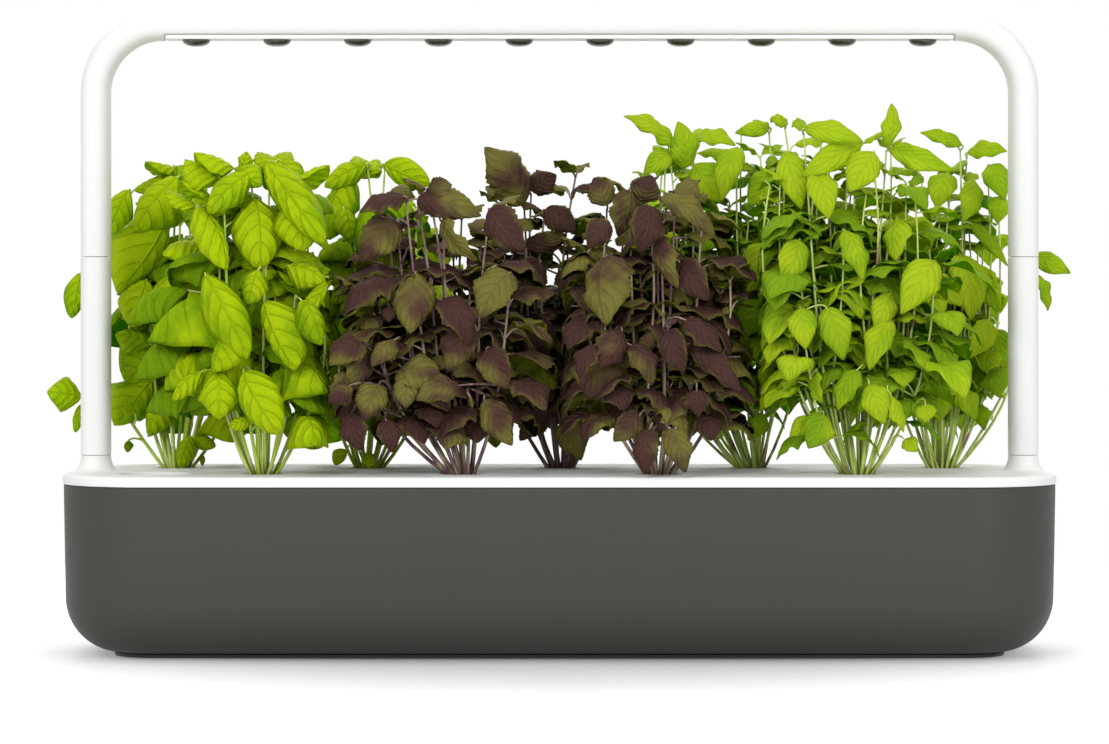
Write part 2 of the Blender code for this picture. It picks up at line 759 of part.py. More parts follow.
def make_lamp(lamp, looks):
    """The arch, its lamp head and the plugs that go down into the extensions."""
    outside = arch_rings(ARM_HALF_WIDTH, ARM_HALF_DEPTH)
    inside = arch_rings(ARM_HALF_WIDTH - ARM_WALL, ARM_HALF_DEPTH - ARM_WALL)
    arch_shape = loft(outside + inside[::-1], looped=True)
    arch = placed("lamp_arch", mesh_from("lamp_arch", arch_shape, looks["white_plastic"]), lamp)
    flat = block(
        (-FLAT_END, -ARM_HALF_DEPTH - OVERRUN, BAR_CENTRE - ARM_HALF_WIDTH - OVERRUN),
        (FLAT_END, ARM_HALF_DEPTH + OVERRUN, FLAT_LEVEL),
    )
    combine(arch, "DIFFERENCE", "lamp_flat", flat)

    sink_end = FLAT_END - SINK_END_GAP
    sink_shape = block(
        (-sink_end, -SINK_HALF_DEPTH, SINK_BOTTOM),
        (sink_end, SINK_HALF_DEPTH, SINK_BOTTOM + SINK_THICKNESS),
    )
    placed("heat_sink", mesh_from("heat_sink", sink_shape, looks["sink_aluminium"]), lamp)
    board_shape = block(
        (-sink_end, -BOARD_HALF_DEPTH, BOARD_BOTTOM),
        (sink_end, BOARD_HALF_DEPTH, BOARD_BOTTOM + BOARD_THICKNESS),
    )
    board = placed("led_board", mesh_from("led_board", board_shape, looks["board_white"]), lamp)
    cover_shape = block(
        (-COVER_END, -COVER_HALF_DEPTH, COVER_BOTTOM), (COVER_END, COVER_HALF_DEPTH, COVER_TOP)
    )
    cover = placed("lens_cover", mesh_from("lens_cover", cover_shape, looks["white_plastic"]), lamp)
    lens_mesh = mesh_from("lens", lens_shape(), looks["lens_clear"])
    row_end = COVER_END - LENS_END_MARGIN
    pitch = row_end / ((LENSES - 1) / 2)
    chips = []
    holes = []
    for i in range(LENSES):
        at = (i * pitch - row_end, 0, 0)
        placed(f"lens_{i + 1:02d}", lens_mesh, lamp, at)
        chip = block(
            (-CHIP_HALF, -CHIP_HALF, CHIP_BOTTOM),
            (CHIP_HALF, CHIP_HALF, BOARD_BOTTOM + BOARD_THICKNESS / 2),
        )
        chips.append((chip, at))
        hole = turned(
            [
                (0, COVER_BOTTOM - OVERRUN),
                (LENS_RADIUS + GAP, COVER_BOTTOM - OVERRUN),
                (LENS_RADIUS + GAP, COVER_TOP + OVERRUN),
                (0, COVER_TOP + OVERRUN),
            ],
            LENS_STEPS,
        )
        holes.append((hole, at))
    combine(board, "UNION", "led_chips", gathered(chips))
    combine(cover, "DIFFERENCE", "lens_holes", gathered(holes))

    plug_low = EXTENSION_TOP - PLUG_REACH
    arch_plug = plug_shape(plug_low, LEG_BOTTOM + PLUG_REACH)
    plug_mesh = mesh_from("arch_plug", arch_plug, looks["inlet_black"])
    for side, word in ((-1, "left"), (1, "right")):
        placed(f"arch_plug_{word}", plug_mesh, lamp, (side * ARM_X, 0, 0))


def lens_shape():
    """A lens with a domed face that hangs below the cover and a neck up through the flat."""
    profile = [(0, NECK_TOP), (LENS_NECK_RADIUS, NECK_TOP), (LENS_NECK_RADIUS, COVER_TOP)]
    profile += [(LENS_RADIUS, COVER_TOP)]
    for step in range(LENS_DOME_STEPS):
        angle = pi / 2 * step / LENS_DOME_STEPS
        profile.append((LENS_RADIUS * cos(angle), COVER_BOTTOM - LENS_DROP * sin(angle)))
    profile.append((0, LENS_BOTTOM))
    return turned(profile, LENS_STEPS)


def cup_shape():
    """A pod's cup with its lid, a hole for the plant and a hole for the wick."""
    lid_under = DECK_TOP - CUP_WALL
    inner_bottom = CUP_BOTTOM + CUP_WALL
    wick_hole = WICK_RADIUS + WICK_PLAY
    return turned(
        [
            (POD_HOLE_RADIUS, DECK_TOP),
            (POD_FLANGE_RADIUS, DECK_TOP),
            (POD_FLANGE_RADIUS, FLANGE_BOTTOM),
            (CUP_TOP_RADIUS, FLANGE_BOTTOM),
            (CUP_BOTTOM_RADIUS, CUP_BOTTOM),
            (wick_hole, CUP_BOTTOM),
            (wick_hole, inner_bottom),
            (CUP_BOTTOM_RADIUS - CUP_WALL, inner_bottom),
            (CUP_TOP_RADIUS - CUP_WALL, lid_under),
            (POD_HOLE_RADIUS, lid_under),
        ],
        POD_STEPS,
    )


def soil_shape():
    """The soil plug that fills the cup, with its wick down into the tank."""
    low = CUP_BOTTOM + CUP_WALL + GAP
    slope = (CUP_TOP_RADIUS - CUP_BOTTOM_RADIUS) / (DECK_TOP - CUP_WALL - CUP_BOTTOM - CUP_WALL)
    low_radius = CUP_BOTTOM_RADIUS - CUP_WALL - GAP
    top_radius = low_radius + slope * (SOIL_TOP - low)
    wick_end = TANK_FLOOR + WICK_ABOVE_TANK
    return turned(
        [
            (0, wick_end),
            (WICK_RADIUS, wick_end),
            (WICK_RADIUS, low),
            (low_radius, low),
            (top_radius, SOIL_TOP),
            (0, SOIL_TOP),
        ],
        POD_STEPS,
    )


def plant_cell(number, x, y):
    """The lowest and highest corners that a plant's leaves may fill, about its own stem."""
    plant = PLANTS[number - 1]
    left = plant.left_share * POD_PITCH - PLANT_NEIGHBOUR_GAP / 2
    right = plant.right_share * POD_PITCH - PLANT_NEIGHBOUR_GAP / 2
    rear = number % 2 == 1
    if rear:
        near, far = PLANT_ROW_GAP / 2, PLANT_REACH_BACK
        if number in (1, 2 * REAR_PODS - 1):
            near = ARM_HALF_DEPTH + BOSS_FLARE_DEPTH + PLANT_ARM_GAP
            outer = PLANT_REACH_SIDE - abs(x)
            left, right = (outer, right) if x < 0 else (left, outer)
    else:
        near, far = -PLANT_REACH_BACK, -PLANT_ROW_GAP / 2
        if number == 2:
            left = left + FRONT_OVERHANG
        if number == 2 * REAR_PODS - 2:
            right = right + FRONT_OVERHANG
    top = DECK_TOP + plant.top_share * CLEAR_HEIGHT
    return (-left, near - y, DECK_TOP + PLANT_ABOVE_DECK), (right, far - y, top)


def stem_point(foot, head, share):
    """A point on a stem that leaves the crown steeply and then leans out."""
    middle = (foot + head) / 2
    middle.z += (head - foot).length * STEM_BOW_SHARE / 2
    return (foot * (1 - share) ** 2) + (middle * 2 * share * (1 - share)) + (head * share**2)


def stem_shape(foot, head):
    """A tapered stem of a few sides along its bowed line."""
    rings = []
    for bend in range(STEM_BENDS + 1):
        share = bend / STEM_BENDS
        centre = stem_point(foot, head, share)
        radius = STEM_RADIUS + (STEM_TIP_RADIUS - STEM_RADIUS) * share
        ring = []
        for side in range(STEM_SIDES):
            turn = 2 * pi * (side + FIRST_ROUND_SHARE) / STEM_SIDES
            ring.append(centre + Vector((radius * cos(turn), radius * sin(turn), 0)))
        rings.append(ring)
    return loft(rings)


def leaf_shape(root, outward, droop, length, width):
    """A thin domed leaf that starts inside its stem and sags towards its tip."""
    flat = Vector((outward[0], outward[1], 0)).normalized()
    along = (flat - Vector((0, 0, droop))).normalized()
    across = Vector((-flat.y, flat.x, 0))
    up = along.cross(across)
    start = root - along * LEAF_SINK

    def point(reach, half, lift=0):
        sag = length * LEAF_SAG_SHARE * reach**2
        return start + along * length * reach + across * width * half + up * (lift - sag)

    rim = [(0, 0)]
    rim += [(reach, half) for reach, half in LEAF_RIM_SHARES]
    rim += [(1, 0)]
    rim += [(reach, -half) for reach, half in reversed(LEAF_RIM_SHARES)]
    shape = bmesh.new()
    edge = [shape.verts.new(point(reach, half)) for reach, half in rim]
    dome = width * LEAF_DOME_SHARE
    above = shape.verts.new(point(LEAF_MIDDLE_SHARE, 0, dome))
    below = shape.verts.new(point(LEAF_MIDDLE_SHARE, 0, dome - LEAF_THICKNESS))
    for i, corner in enumerate(edge):
        following = edge[(i + 1) % len(edge)]
        shape.faces.new((corner, following, above))
        shape.faces.new((following, corner, below))
    bmesh.ops.recalc_face_normals(shape, faces=shape.faces)
    return shape


def growth_shape(number, low, high):
    """All stems and leaves of a plant, still as separate shells."""
    plant = PLANTS[number - 1]
    habit = HABITS[plant.habit]
    crown_top = Vector((0, 0, SOIL_TOP + GAP + CROWN_HEIGHT / 2))
    shells = []
    for stem in range(STEMS):
        turn = 2 * pi * (stem / STEMS + plant.turn_share)
        side_x = high[0] if cos(turn) > 0 else -low[0]
        side_y = high[1] if sin(turn) > 0 else -low[1]
        out = Vector((cos(turn), sin(turn), 0))
        foot = crown_top + out * CROWN_RADIUS / 2
        top = high[2] - (high[2] - DECK_TOP) * SHORT_STEM_SHARE * stem
        head = Vector(
            (out.x * side_x * habit.spread_share, out.y * side_y * habit.spread_share, top)
        )
        shells.append((stem_shape(foot, head), (0, 0, 0)))
        for level, pair_turn in zip(habit.levels_share, LEAF_PAIR_TURNS):
            for partner, angle in enumerate((turn - pair_turn, turn + pair_turn)):
                root = stem_point(foot, head, level - partner * LEAF_STAGGER_SHARE)
                outward = (cos(angle), sin(angle))
                droop = habit.droop_share * (1 + partner * DROOP_CHANGE_SHARE)
                size = 1 - level * LEAF_SHRINK_SHARE
                leaf = leaf_shape(
                    root, outward, droop, habit.leaf_length * size, habit.leaf_width * size
                )
                shells.append((leaf, (0, 0, 0)))
    return fitted(gathered(shells), low, high)


def fitted(shape, low, high):
    """The growth stretched on each side of its stem until it just fills its cell."""
    foot = SOIL_TOP + GAP
    for axis in (0, 1):
        left = -min(vert.co[axis] for vert in shape.verts)
        right = max(vert.co[axis] for vert in shape.verts)
        for vert in shape.verts:
            side = -low[axis] / left if vert.co[axis] < 0 else high[axis] / right
            vert.co[axis] *= side
    top = max(vert.co.z for vert in shape.verts)
    for vert in shape.verts:
        vert.co.z = foot + (vert.co.z - foot) * (high[2] - foot) / (top - foot)
    return shape


def make_pods(deck, looks):
    """Nine pods, each a cup, its soil plug and its plant on one lift."""
    cup_mesh = mesh_from("pod_cup", cup_shape(), looks["white_plastic"])
    soil_mesh = mesh_from("soil_plug", soil_shape(), looks["soil"])
    for number, (x, y) in enumerate(pod_places(), start=1):
        lift = body(f"pod_{number}_lift", deck, (x, y, 0))
        placed(f"pod_cup_{number}", cup_mesh, lift)
        placed(f"soil_plug_{number}", soil_mesh, lift)
        low, high = plant_cell(number, x, y)
        foot = SOIL_TOP + GAP
        crown_top = foot + CROWN_HEIGHT
        crown = turned(
            [(0, foot), (CROWN_RADIUS, foot), (CROWN_RADIUS, crown_top), (0, crown_top)],
            CROWN_STEPS,
        )
        leaf_finish = looks[HABITS[PLANTS[number - 1].habit].finish]
        plant = placed(f"plant_{number}", mesh_from(f"plant_{number}", crown, leaf_finish), lift)
        growth = growth_shape(number, low, high)
        combine(plant, "UNION", f"growth_{number}", growth, self_union=True)


def main():
    """Builds the garden from the table up."""
    clear_scene()
    looks = finishes()
    root = body("base")
    make_base(root, looks)
    deck = body("deck_lift", root)
    make_deck(deck, looks)
    make_well(deck, looks)
    arms = make_arms(deck, looks)
    lamp = body("lamp_lift", arms["left"], (ARM_X, 0, 0))
    make_lamp(lamp, looks)
    make_pods(deck, looks)


main()
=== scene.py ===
"""Looks of the countertop hydroponic garden, built over its CAD frame.

The frame is the CAD part's own: metres, the origin on the table under the middle of the base,
+X to the right, +Y to the back and +Z up.
"""

import logging
from dataclasses import dataclass
from enum import Enum
from math import pi, radians

import bmesh
import bpy
import numpy as np
from bpy.types import Material, Node, NodeSocket, NodeTree, Object
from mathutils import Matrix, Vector


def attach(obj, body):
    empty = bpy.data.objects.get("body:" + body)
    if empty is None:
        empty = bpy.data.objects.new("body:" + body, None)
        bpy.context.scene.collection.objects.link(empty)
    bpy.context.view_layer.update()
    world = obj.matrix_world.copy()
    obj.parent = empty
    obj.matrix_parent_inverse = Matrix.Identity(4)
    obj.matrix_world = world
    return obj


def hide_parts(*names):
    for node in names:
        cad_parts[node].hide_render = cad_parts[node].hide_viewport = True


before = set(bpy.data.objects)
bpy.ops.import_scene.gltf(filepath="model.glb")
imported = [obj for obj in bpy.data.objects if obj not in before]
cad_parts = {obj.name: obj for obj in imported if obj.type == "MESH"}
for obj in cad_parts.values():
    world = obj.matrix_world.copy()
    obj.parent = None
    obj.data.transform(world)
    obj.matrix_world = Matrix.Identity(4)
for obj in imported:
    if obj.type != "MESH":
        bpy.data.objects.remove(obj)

# Two numbers, such as (x, y) or a least and a most, and three numbers, such as (x, y, z)
Pair = tuple[float, float]
Triple = tuple[float, float, float]
Array = np.ndarray

LOG = logging.getLogger("garden")
SEED = 41
GOLDEN_TURN = pi * (3 - 5**0.5)
# The clearance between pieces that fit into each other
GAP = 0.0003
# How far a cutter reaches past what it cuts
OVERRUN = 0.002
# Edges sharper than this, in degrees, stay sharp
SHARP = 32.0
# Points closer than this are one point
MERGE = 1e-6
# The most of an edge that goes into a rounded corner
EASE_SHARE = 0.45
# Vectors shorter than this have no direction
TINY = 1e-9
# A direction that no stem or stalk runs along
ASLANT = (0.31, 0.95, 0.04)
# Distance between neighbouring pods on X, and from the middle line to a row of pods
POD_STEP = 0.06125
POD_ROW = 0.042
# Noise values between which a cloud goes from its least to its most
CLOUD = (0.3, 0.7)
WIDE_CLOUD = (0.2, 0.8)


# Small helpers for colours, node trees and meshes


def linear(colour: str) -> tuple[float, float, float, float]:
    """Turns an sRGB hex colour into linear values.

    Args:
        colour: the colour as "#rrggbb".

    Returns:
        Linear red, green and blue with an alpha of 1.
    """
    shares = np.array([int(colour[i : i + 2], 16) for i in (1, 3, 5)]) / 255
    made = np.where(shares <= 0.04045, shares / 12.92, ((shares + 0.055) / 1.055) ** 2.4)
    return float(made[0]), float(made[1]), float(made[2]), 1.0


def feed(tree: NodeTree, node: Node, inputs: dict) -> None:
    """Gives a node its input values and its links.

    Args:
        tree: the node tree it stands in.
        node: the node.
        inputs: for each input, by name or index, a value or the output socket that feeds it.
    """
    for key, value in inputs.items():
        if isinstance(value, NodeSocket):
            tree.links.new(value, node.inputs[key])
        else:
            node.inputs[key].default_value = value


def add(
    tree: NodeTree, kind: str, settings: dict | None = None, inputs: dict | None = None
) -> Node:
    """Adds a node with its settings, its input values and its links.

    Args:
        tree: the node tree it goes into.
        kind: the node's Blender type, without "ShaderNode" in front.
        settings: attributes of the node by name.
        inputs: its inputs, as feed takes them.

    Returns:
        The new node.
    """
    made = tree.nodes.new("ShaderNode" + kind)
    for key, value in (settings or {}).items():
        setattr(made, key, value)
    feed(tree, made, inputs or {})
    return made


def shader_material(name: str) -> tuple[Material, NodeTree, Node, NodeSocket]:
    """Makes a node material and finds its tree and its Principled shader.

    Args:
        name: the material's name.

    Returns:
        The material, its node tree, its Principled shader and the place on the object in metres.
    """
    made = bpy.data.materials.new(name)
    made.use_nodes = True
    tree = made.node_tree
    place = add(tree, "TexCoord").outputs["Object"]
    return made, tree, tree.nodes["Principled BSDF"], place


def math_node(tree: NodeTree, operation: str, *values: object) -> NodeSocket:
    """Adds a Math node.

    Args:
        tree: the node tree it goes into.
        operation: the node's operation.
        values: a number or an output socket for each input in turn.

    Returns:
        The node's output.
    """
    return add(tree, "Math", {"operation": operation}, dict(enumerate(values))).outputs[0]


def ramp_node(
    tree: NodeTree, value: NodeSocket, low: float, high: float,
    start: float = 0.0, end: float = 1.0,
) -> NodeSocket:
    """Adds a smooth step from one value to another.

    Args:
        tree: the node tree it goes into.
        value: the output that drives it.
        low: where the step starts.
        high: where the step ends.
        start: what it gives at and before low.
        end: what it gives at and after high.

    Returns:
        The node's output.
    """
    inputs = {"Value": value, "From Min": low, "From Max": high, "To Min": start, "To Max": end}
    settings = {"interpolation_type": "SMOOTHSTEP"}
    return add(tree, "MapRange", settings, inputs).outputs["Result"]


def blend_node(
    tree: NodeTree, share: object, first: object, second: object
) -> NodeSocket:
    """Adds a blend of two colours.

    Args:
        tree: the node tree it goes into.
        share: the second colour's share, a number or an output.
        first: the first colour or the output that gives it.
        second: the second colour or the output that gives it.

    Returns:
        The blended colour's output.
    """
    inputs = {"Factor": share, 6: first, 7: second}
    settings = {"data_type": "RGBA", "clamp_factor": True}
    return add(tree, "Mix", settings, inputs).outputs[2]


def noise_node(
    tree: NodeTree, place: NodeSocket, size: float, detail: float = 2.0
) -> NodeSocket:
    """Adds noise whose patches have a real size.

    Args:
        tree: the node tree it goes into.
        place: the coordinates, in metres.
        size: how wide a patch is, in metres.
        detail: how many finer layers it has.

    Returns:
        The noise's value, from 0 to 1.
    """
    inputs = {"Vector": place, "Scale": 1 / size, "Detail": detail}
    return add(tree, "TexNoise", None, inputs).outputs[0]


def grid_faces(rows: int, columns: int, closed: bool = False, grids: int = 1) -> Array:
    """Corner numbers of the squares between the points of equal grids that follow one another.

    Args:
        rows: rows of points in a grid.
        columns: points in a row.
        closed: whether each row closes on itself.
        grids: how many grids there are.

    Returns:
        An array of squares by four corner numbers.
    """
    row = np.arange(rows - 1)[:, None]
    column = np.arange(columns if closed else columns - 1)[None, :]
    after = (column + 1) % columns
    corners = [row * columns + column, row * columns + after]
    corners += [(row + 1) * columns + after, (row + 1) * columns + column]
    squares = np.stack(np.broadcast_arrays(*corners), axis=-1).reshape(-1, 4)
    starts = np.arange(grids)[:, None, None] * rows * columns
    return (squares[None] + starts).reshape(-1, 4)


def mesh_object(name: str, points: Array, faces: Array | list) -> Object:
    """Puts points and faces into a smooth mesh object at the origin.

    Args:
        name: the object's name.
        points: an array of points by three.
        faces: corner numbers of each face.

    Returns:
        The object, linked into the scene.
    """
    mesh = bpy.data.meshes.new(name)
    listed = faces.tolist() if isinstance(faces, Array) else faces
    mesh.from_pydata(np.asarray(points, float).tolist(), [], listed)
    mesh.update()
    mesh.shade_smooth()
    made = bpy.data.objects.new(name, mesh)
    bpy.context.scene.collection.objects.link(made)
    return made


def skin(
    name: str, rings: Array, looped: bool = False, sharp: float = SHARP
) -> Object:
    """Carries a closed skin through rings of points and closes its ends.

    Args:
        name: the object's name.
        rings: an array of rings by points by three.
        looped: whether the last ring leads back to the first.
        sharp: the angle in degrees from which an edge stays sharp.

    Returns:
        The object.
    """
    count, around = rings.shape[:2]
    points = rings.reshape(-1, 3)
    faces = grid_faces(count, around, closed=True).tolist()
    if looped:
        last = (count - 1) * around
        i = np.arange(around)
        j = (i + 1) % around
        faces += np.stack([last + i, last + j, j, i], axis=-1).tolist()
    else:
        faces.append(list(range(around))[::-1])
        faces.append(list(range((count - 1) * around, count * around)))
    made = mesh_object(name, points, faces)
    tidied(made, sharp)
    return made


def tidied(made: Object, sharp: float) -> None:
    """Joins doubled points, turns the faces outward and marks the sharp edges.

    Args:
        made: the object to work on.
        sharp: the angle in degrees from which an edge stays sharp.
    """
    work = bmesh.new()
    work.from_mesh(made.data)
    bmesh.ops.remove_doubles(work, verts=work.verts, dist=MERGE)
    bmesh.ops.dissolve_degenerate(work, edges=work.edges, dist=MERGE / 10)
    bmesh.ops.recalc_face_normals(work, faces=work.faces)
    work.to_mesh(made.data)
    work.free()
    made.data.shade_smooth()
    made.data.set_sharp_from_angle(angle=radians(sharp))


def rounded(profile: list[Pair], radius: float, steps: int = 4) -> Array:
    """Rounds every corner of a closed outline of (distance, height) points.

    Each corner becomes a curve from radius before it to radius after it that leans on the
    corner: (1-t)^2 before + 2t(1-t) corner + t^2 after. Points on the axis stay as they are.

    Args:
        profile: the outline's corners in order.
        radius: how far from a corner its curve starts.
        steps: how many parts the curve has.

    Returns:
        An array of points by two.
    """
    made = []
    for i, corner in enumerate(profile):
        at = np.array(corner, float)
        before = np.array(profile[i - 1], float)
        after = np.array(profile[(i + 1) % len(profile)], float)
        if at[0] <= MERGE:
            made.append(at[None])
            continue
        reach_before = min(radius, np.linalg.norm(before - at) * EASE_SHARE)
        reach_after = min(radius, np.linalg.norm(after - at) * EASE_SHARE)
        start = at + (before - at) / np.linalg.norm(before - at) * reach_before
        end = at + (after - at) / np.linalg.norm(after - at) * reach_after
        t = np.linspace(0, 1, steps + 1)[:, None]
        made.append((1 - t) ** 2 * start + 2 * t * (1 - t) * at + t**2 * end)
    return np.concatenate(made)


def turned(
    name: str, profile: Array, at: Pair, steps: int = 64
) -> Object:
    """Turns a closed outline of (radius, height) points about an upright axis.

    Args:
        name: the object's name.
        profile: an array of points by two.
        at: (x, y) of the axis.
        steps: how many parts the round has.

    Returns:
        The object.
    """
    turn = np.linspace(0, 2 * pi, steps, endpoint=False)
    radius, height = np.asarray(profile).T
    x = at[0] + radius[:, None] * np.cos(turn)
    y = at[1] + radius[:, None] * np.sin(turn)
    z = np.broadcast_to(height[:, None], x.shape)
    return skin(name, np.stack([x, y, z], axis=-1), looped=True)


def carved(made: Object, operation: str, tools: list[Object]) -> None:
    """Joins tools to an object or cuts them away, for good, and removes them.

    Args:
        made: the object that changes.
        operation: "UNION" or "DIFFERENCE".
        tools: the objects to join or to cut away, which don't touch one another.
    """
    for tool in tools:
        modifier = made.modifiers.new("carve", "BOOLEAN")
        modifier.operation = operation
        modifier.solver = "EXACT"
        modifier.object = tool
    bpy.context.view_layer.update()
    graph = bpy.context.evaluated_depsgraph_get()
    result = bpy.data.meshes.new_from_object(made.evaluated_get(graph))
    made.modifiers.clear()
    old = made.data
    made.data = result
    bpy.data.meshes.remove(old)
    for tool in tools:
        bpy.data.objects.remove(tool, do_unlink=True)
    tidied(made, SHARP)


def dressed(made: Object, material: Material, body: str, *nodes: str) -> None:
    """Gives a piece its finish and its body, and takes the place of CAD nodes.

    Args:
        made: the piece.
        material: its material.
        body: the CAD body that it moves with.
        nodes: the CAD nodes that it stands for.
    """
    made.data.materials.clear()
    made.data.materials.append(material)
    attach(made, body)
    if nodes:
        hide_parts(*nodes)


def joined(name: str, pieces: list[Object]) -> Object:
    """Puts several meshes into one object.

    Args:
        name: the object's name.
        pieces: the objects, which are removed.

    Returns:
        The object that holds them all.
    """
    work = bmesh.new()
    for piece in pieces:
        work.from_mesh(piece.data)
    mesh = bpy.data.meshes.new(name)
    work.to_mesh(mesh)
    work.free()
    for piece in pieces:
        bpy.data.objects.remove(piece, do_unlink=True)
    mesh.shade_smooth()
    mesh.set_sharp_from_angle(angle=radians(SHARP))
    made = bpy.data.objects.new(name, mesh)
    bpy.context.scene.collection.objects.link(made)
    return made


# Finishes


@dataclass(frozen=True)
class Moulded:
    """A moulded plastic or rubber skin with a fine grain and a slight mottle."""

    name: str
    colour: str
    roughness: float
    grain: float = 0.0006
    grain_depth: float = 0.00002
    mottle: float = 0.04
    mottle_size: float = 0.05
    specular: float = 0.5
    through: float = 0.0
    scatter: float = 0.004
    grain_share: float = 0.5

    def material(self) -> Material:
        """Builds the material: its roughness varies a little, and a fine grain lifts its skin.

        Returns:
            The material.
        """
        made, tree, shader, place = shader_material(self.name)
        cloud = noise_node(tree, place, self.mottle_size)
        grain = noise_node(tree, place, self.grain, 1.0)
        least, most = self.roughness - self.mottle, self.roughness + self.mottle
        inputs = {"Height": grain, "Distance": self.grain_depth, "Strength": self.grain_share}
        feed(tree, shader, {
            "Base Color": linear(self.colour),
            "Roughness": ramp_node(tree, cloud, *CLOUD, least, most),
            "Specular IOR Level": self.specular,
            "Subsurface Weight": self.through,
            "Subsurface Radius": (self.scatter,) * 3,
            "Normal": add(tree, "Bump", None, inputs).outputs[0],
        })
        return made


@dataclass(frozen=True)
class Metal:
    """A bare or plated metal with fine marks along X."""

    name: str
    colour: str
    roughness: float
    mark_length: float = 0.03
    mark_width: float = 0.0004
    mark_detail: float = 3.0
    mark_share: float = 0.3

    def material(self) -> Material:
        """Builds the material: noise drawn out along X varies its roughness.

        Returns:
            The material.
        """
        made, tree, shader, place = shader_material(self.name)
        scale = (1 / self.mark_length, 1 / self.mark_width, 1 / self.mark_width)
        drawn = add(tree, "Mapping", None, {"Vector": place, "Scale": scale})
        marks = noise_node(tree, drawn.outputs[0], 1.0, self.mark_detail)
        spread = self.roughness * self.mark_share
        least, most = self.roughness - spread, self.roughness + spread
        rough = ramp_node(tree, marks, *WIDE_CLOUD, least, most)
        inputs = {"Base Color": linear(self.colour), "Metallic": 1.0, "Roughness": rough}
        feed(tree, shader, inputs)
        return made


@dataclass(frozen=True)
class Crumbs:
    """Moist growing medium: dark crumbs with pale specks."""

    name: str
    dark: str
    pale: str
    crumb: float = 0.0016
    depth: float = 0.0008
    detail: float = 4.0
    pale_range: Pair = (0.45, 0.75)
    roughness: float = 0.85

    def material(self) -> Material:
        """Builds the material: crumb-sized noise gives its colour and its height.

        Returns:
            The material.
        """
        made, tree, shader, place = shader_material(self.name)
        crumbs = noise_node(tree, place, self.crumb, self.detail)
        share = ramp_node(tree, crumbs, *self.pale_range)
        colour = blend_node(tree, share, linear(self.dark), linear(self.pale))
        bump = add(tree, "Bump", None, {"Height": crumbs, "Distance": self.depth})
        inputs = {"Base Color": colour, "Roughness": self.roughness, "Normal": bump.outputs[0]}
        feed(tree, shader, inputs)
        return made


@dataclass(frozen=True)
class LensPlastic:
    """A smoked lens over its chip: a dark dome whose foot is speckled and whose brim is paler."""

    name: str
    brim: str
    face: str
    low: float
    high: float
    dark: str = "#1d1d19"
    speck: float = 0.0011
    speck_range: Pair = (0.4, 0.6)
    roughness: float = 0.22

    def material(self) -> Material:
        """Builds the material: colour goes from face to brim with height, and specks darken it.

        Returns:
            The material.
        """
        made, tree, shader, place = shader_material(self.name)
        height = add(tree, "SeparateXYZ", None, {0: place}).outputs["Z"]
        share = ramp_node(tree, height, self.low, self.high)
        specks = ramp_node(tree, noise_node(tree, place, self.speck), *self.speck_range)
        dark = blend_node(tree, specks, linear(self.dark), linear(self.face))
        colour = blend_node(tree, share, dark, linear(self.brim))
        feed(tree, shader, {"Base Color": colour, "Roughness": self.roughness})
        return made


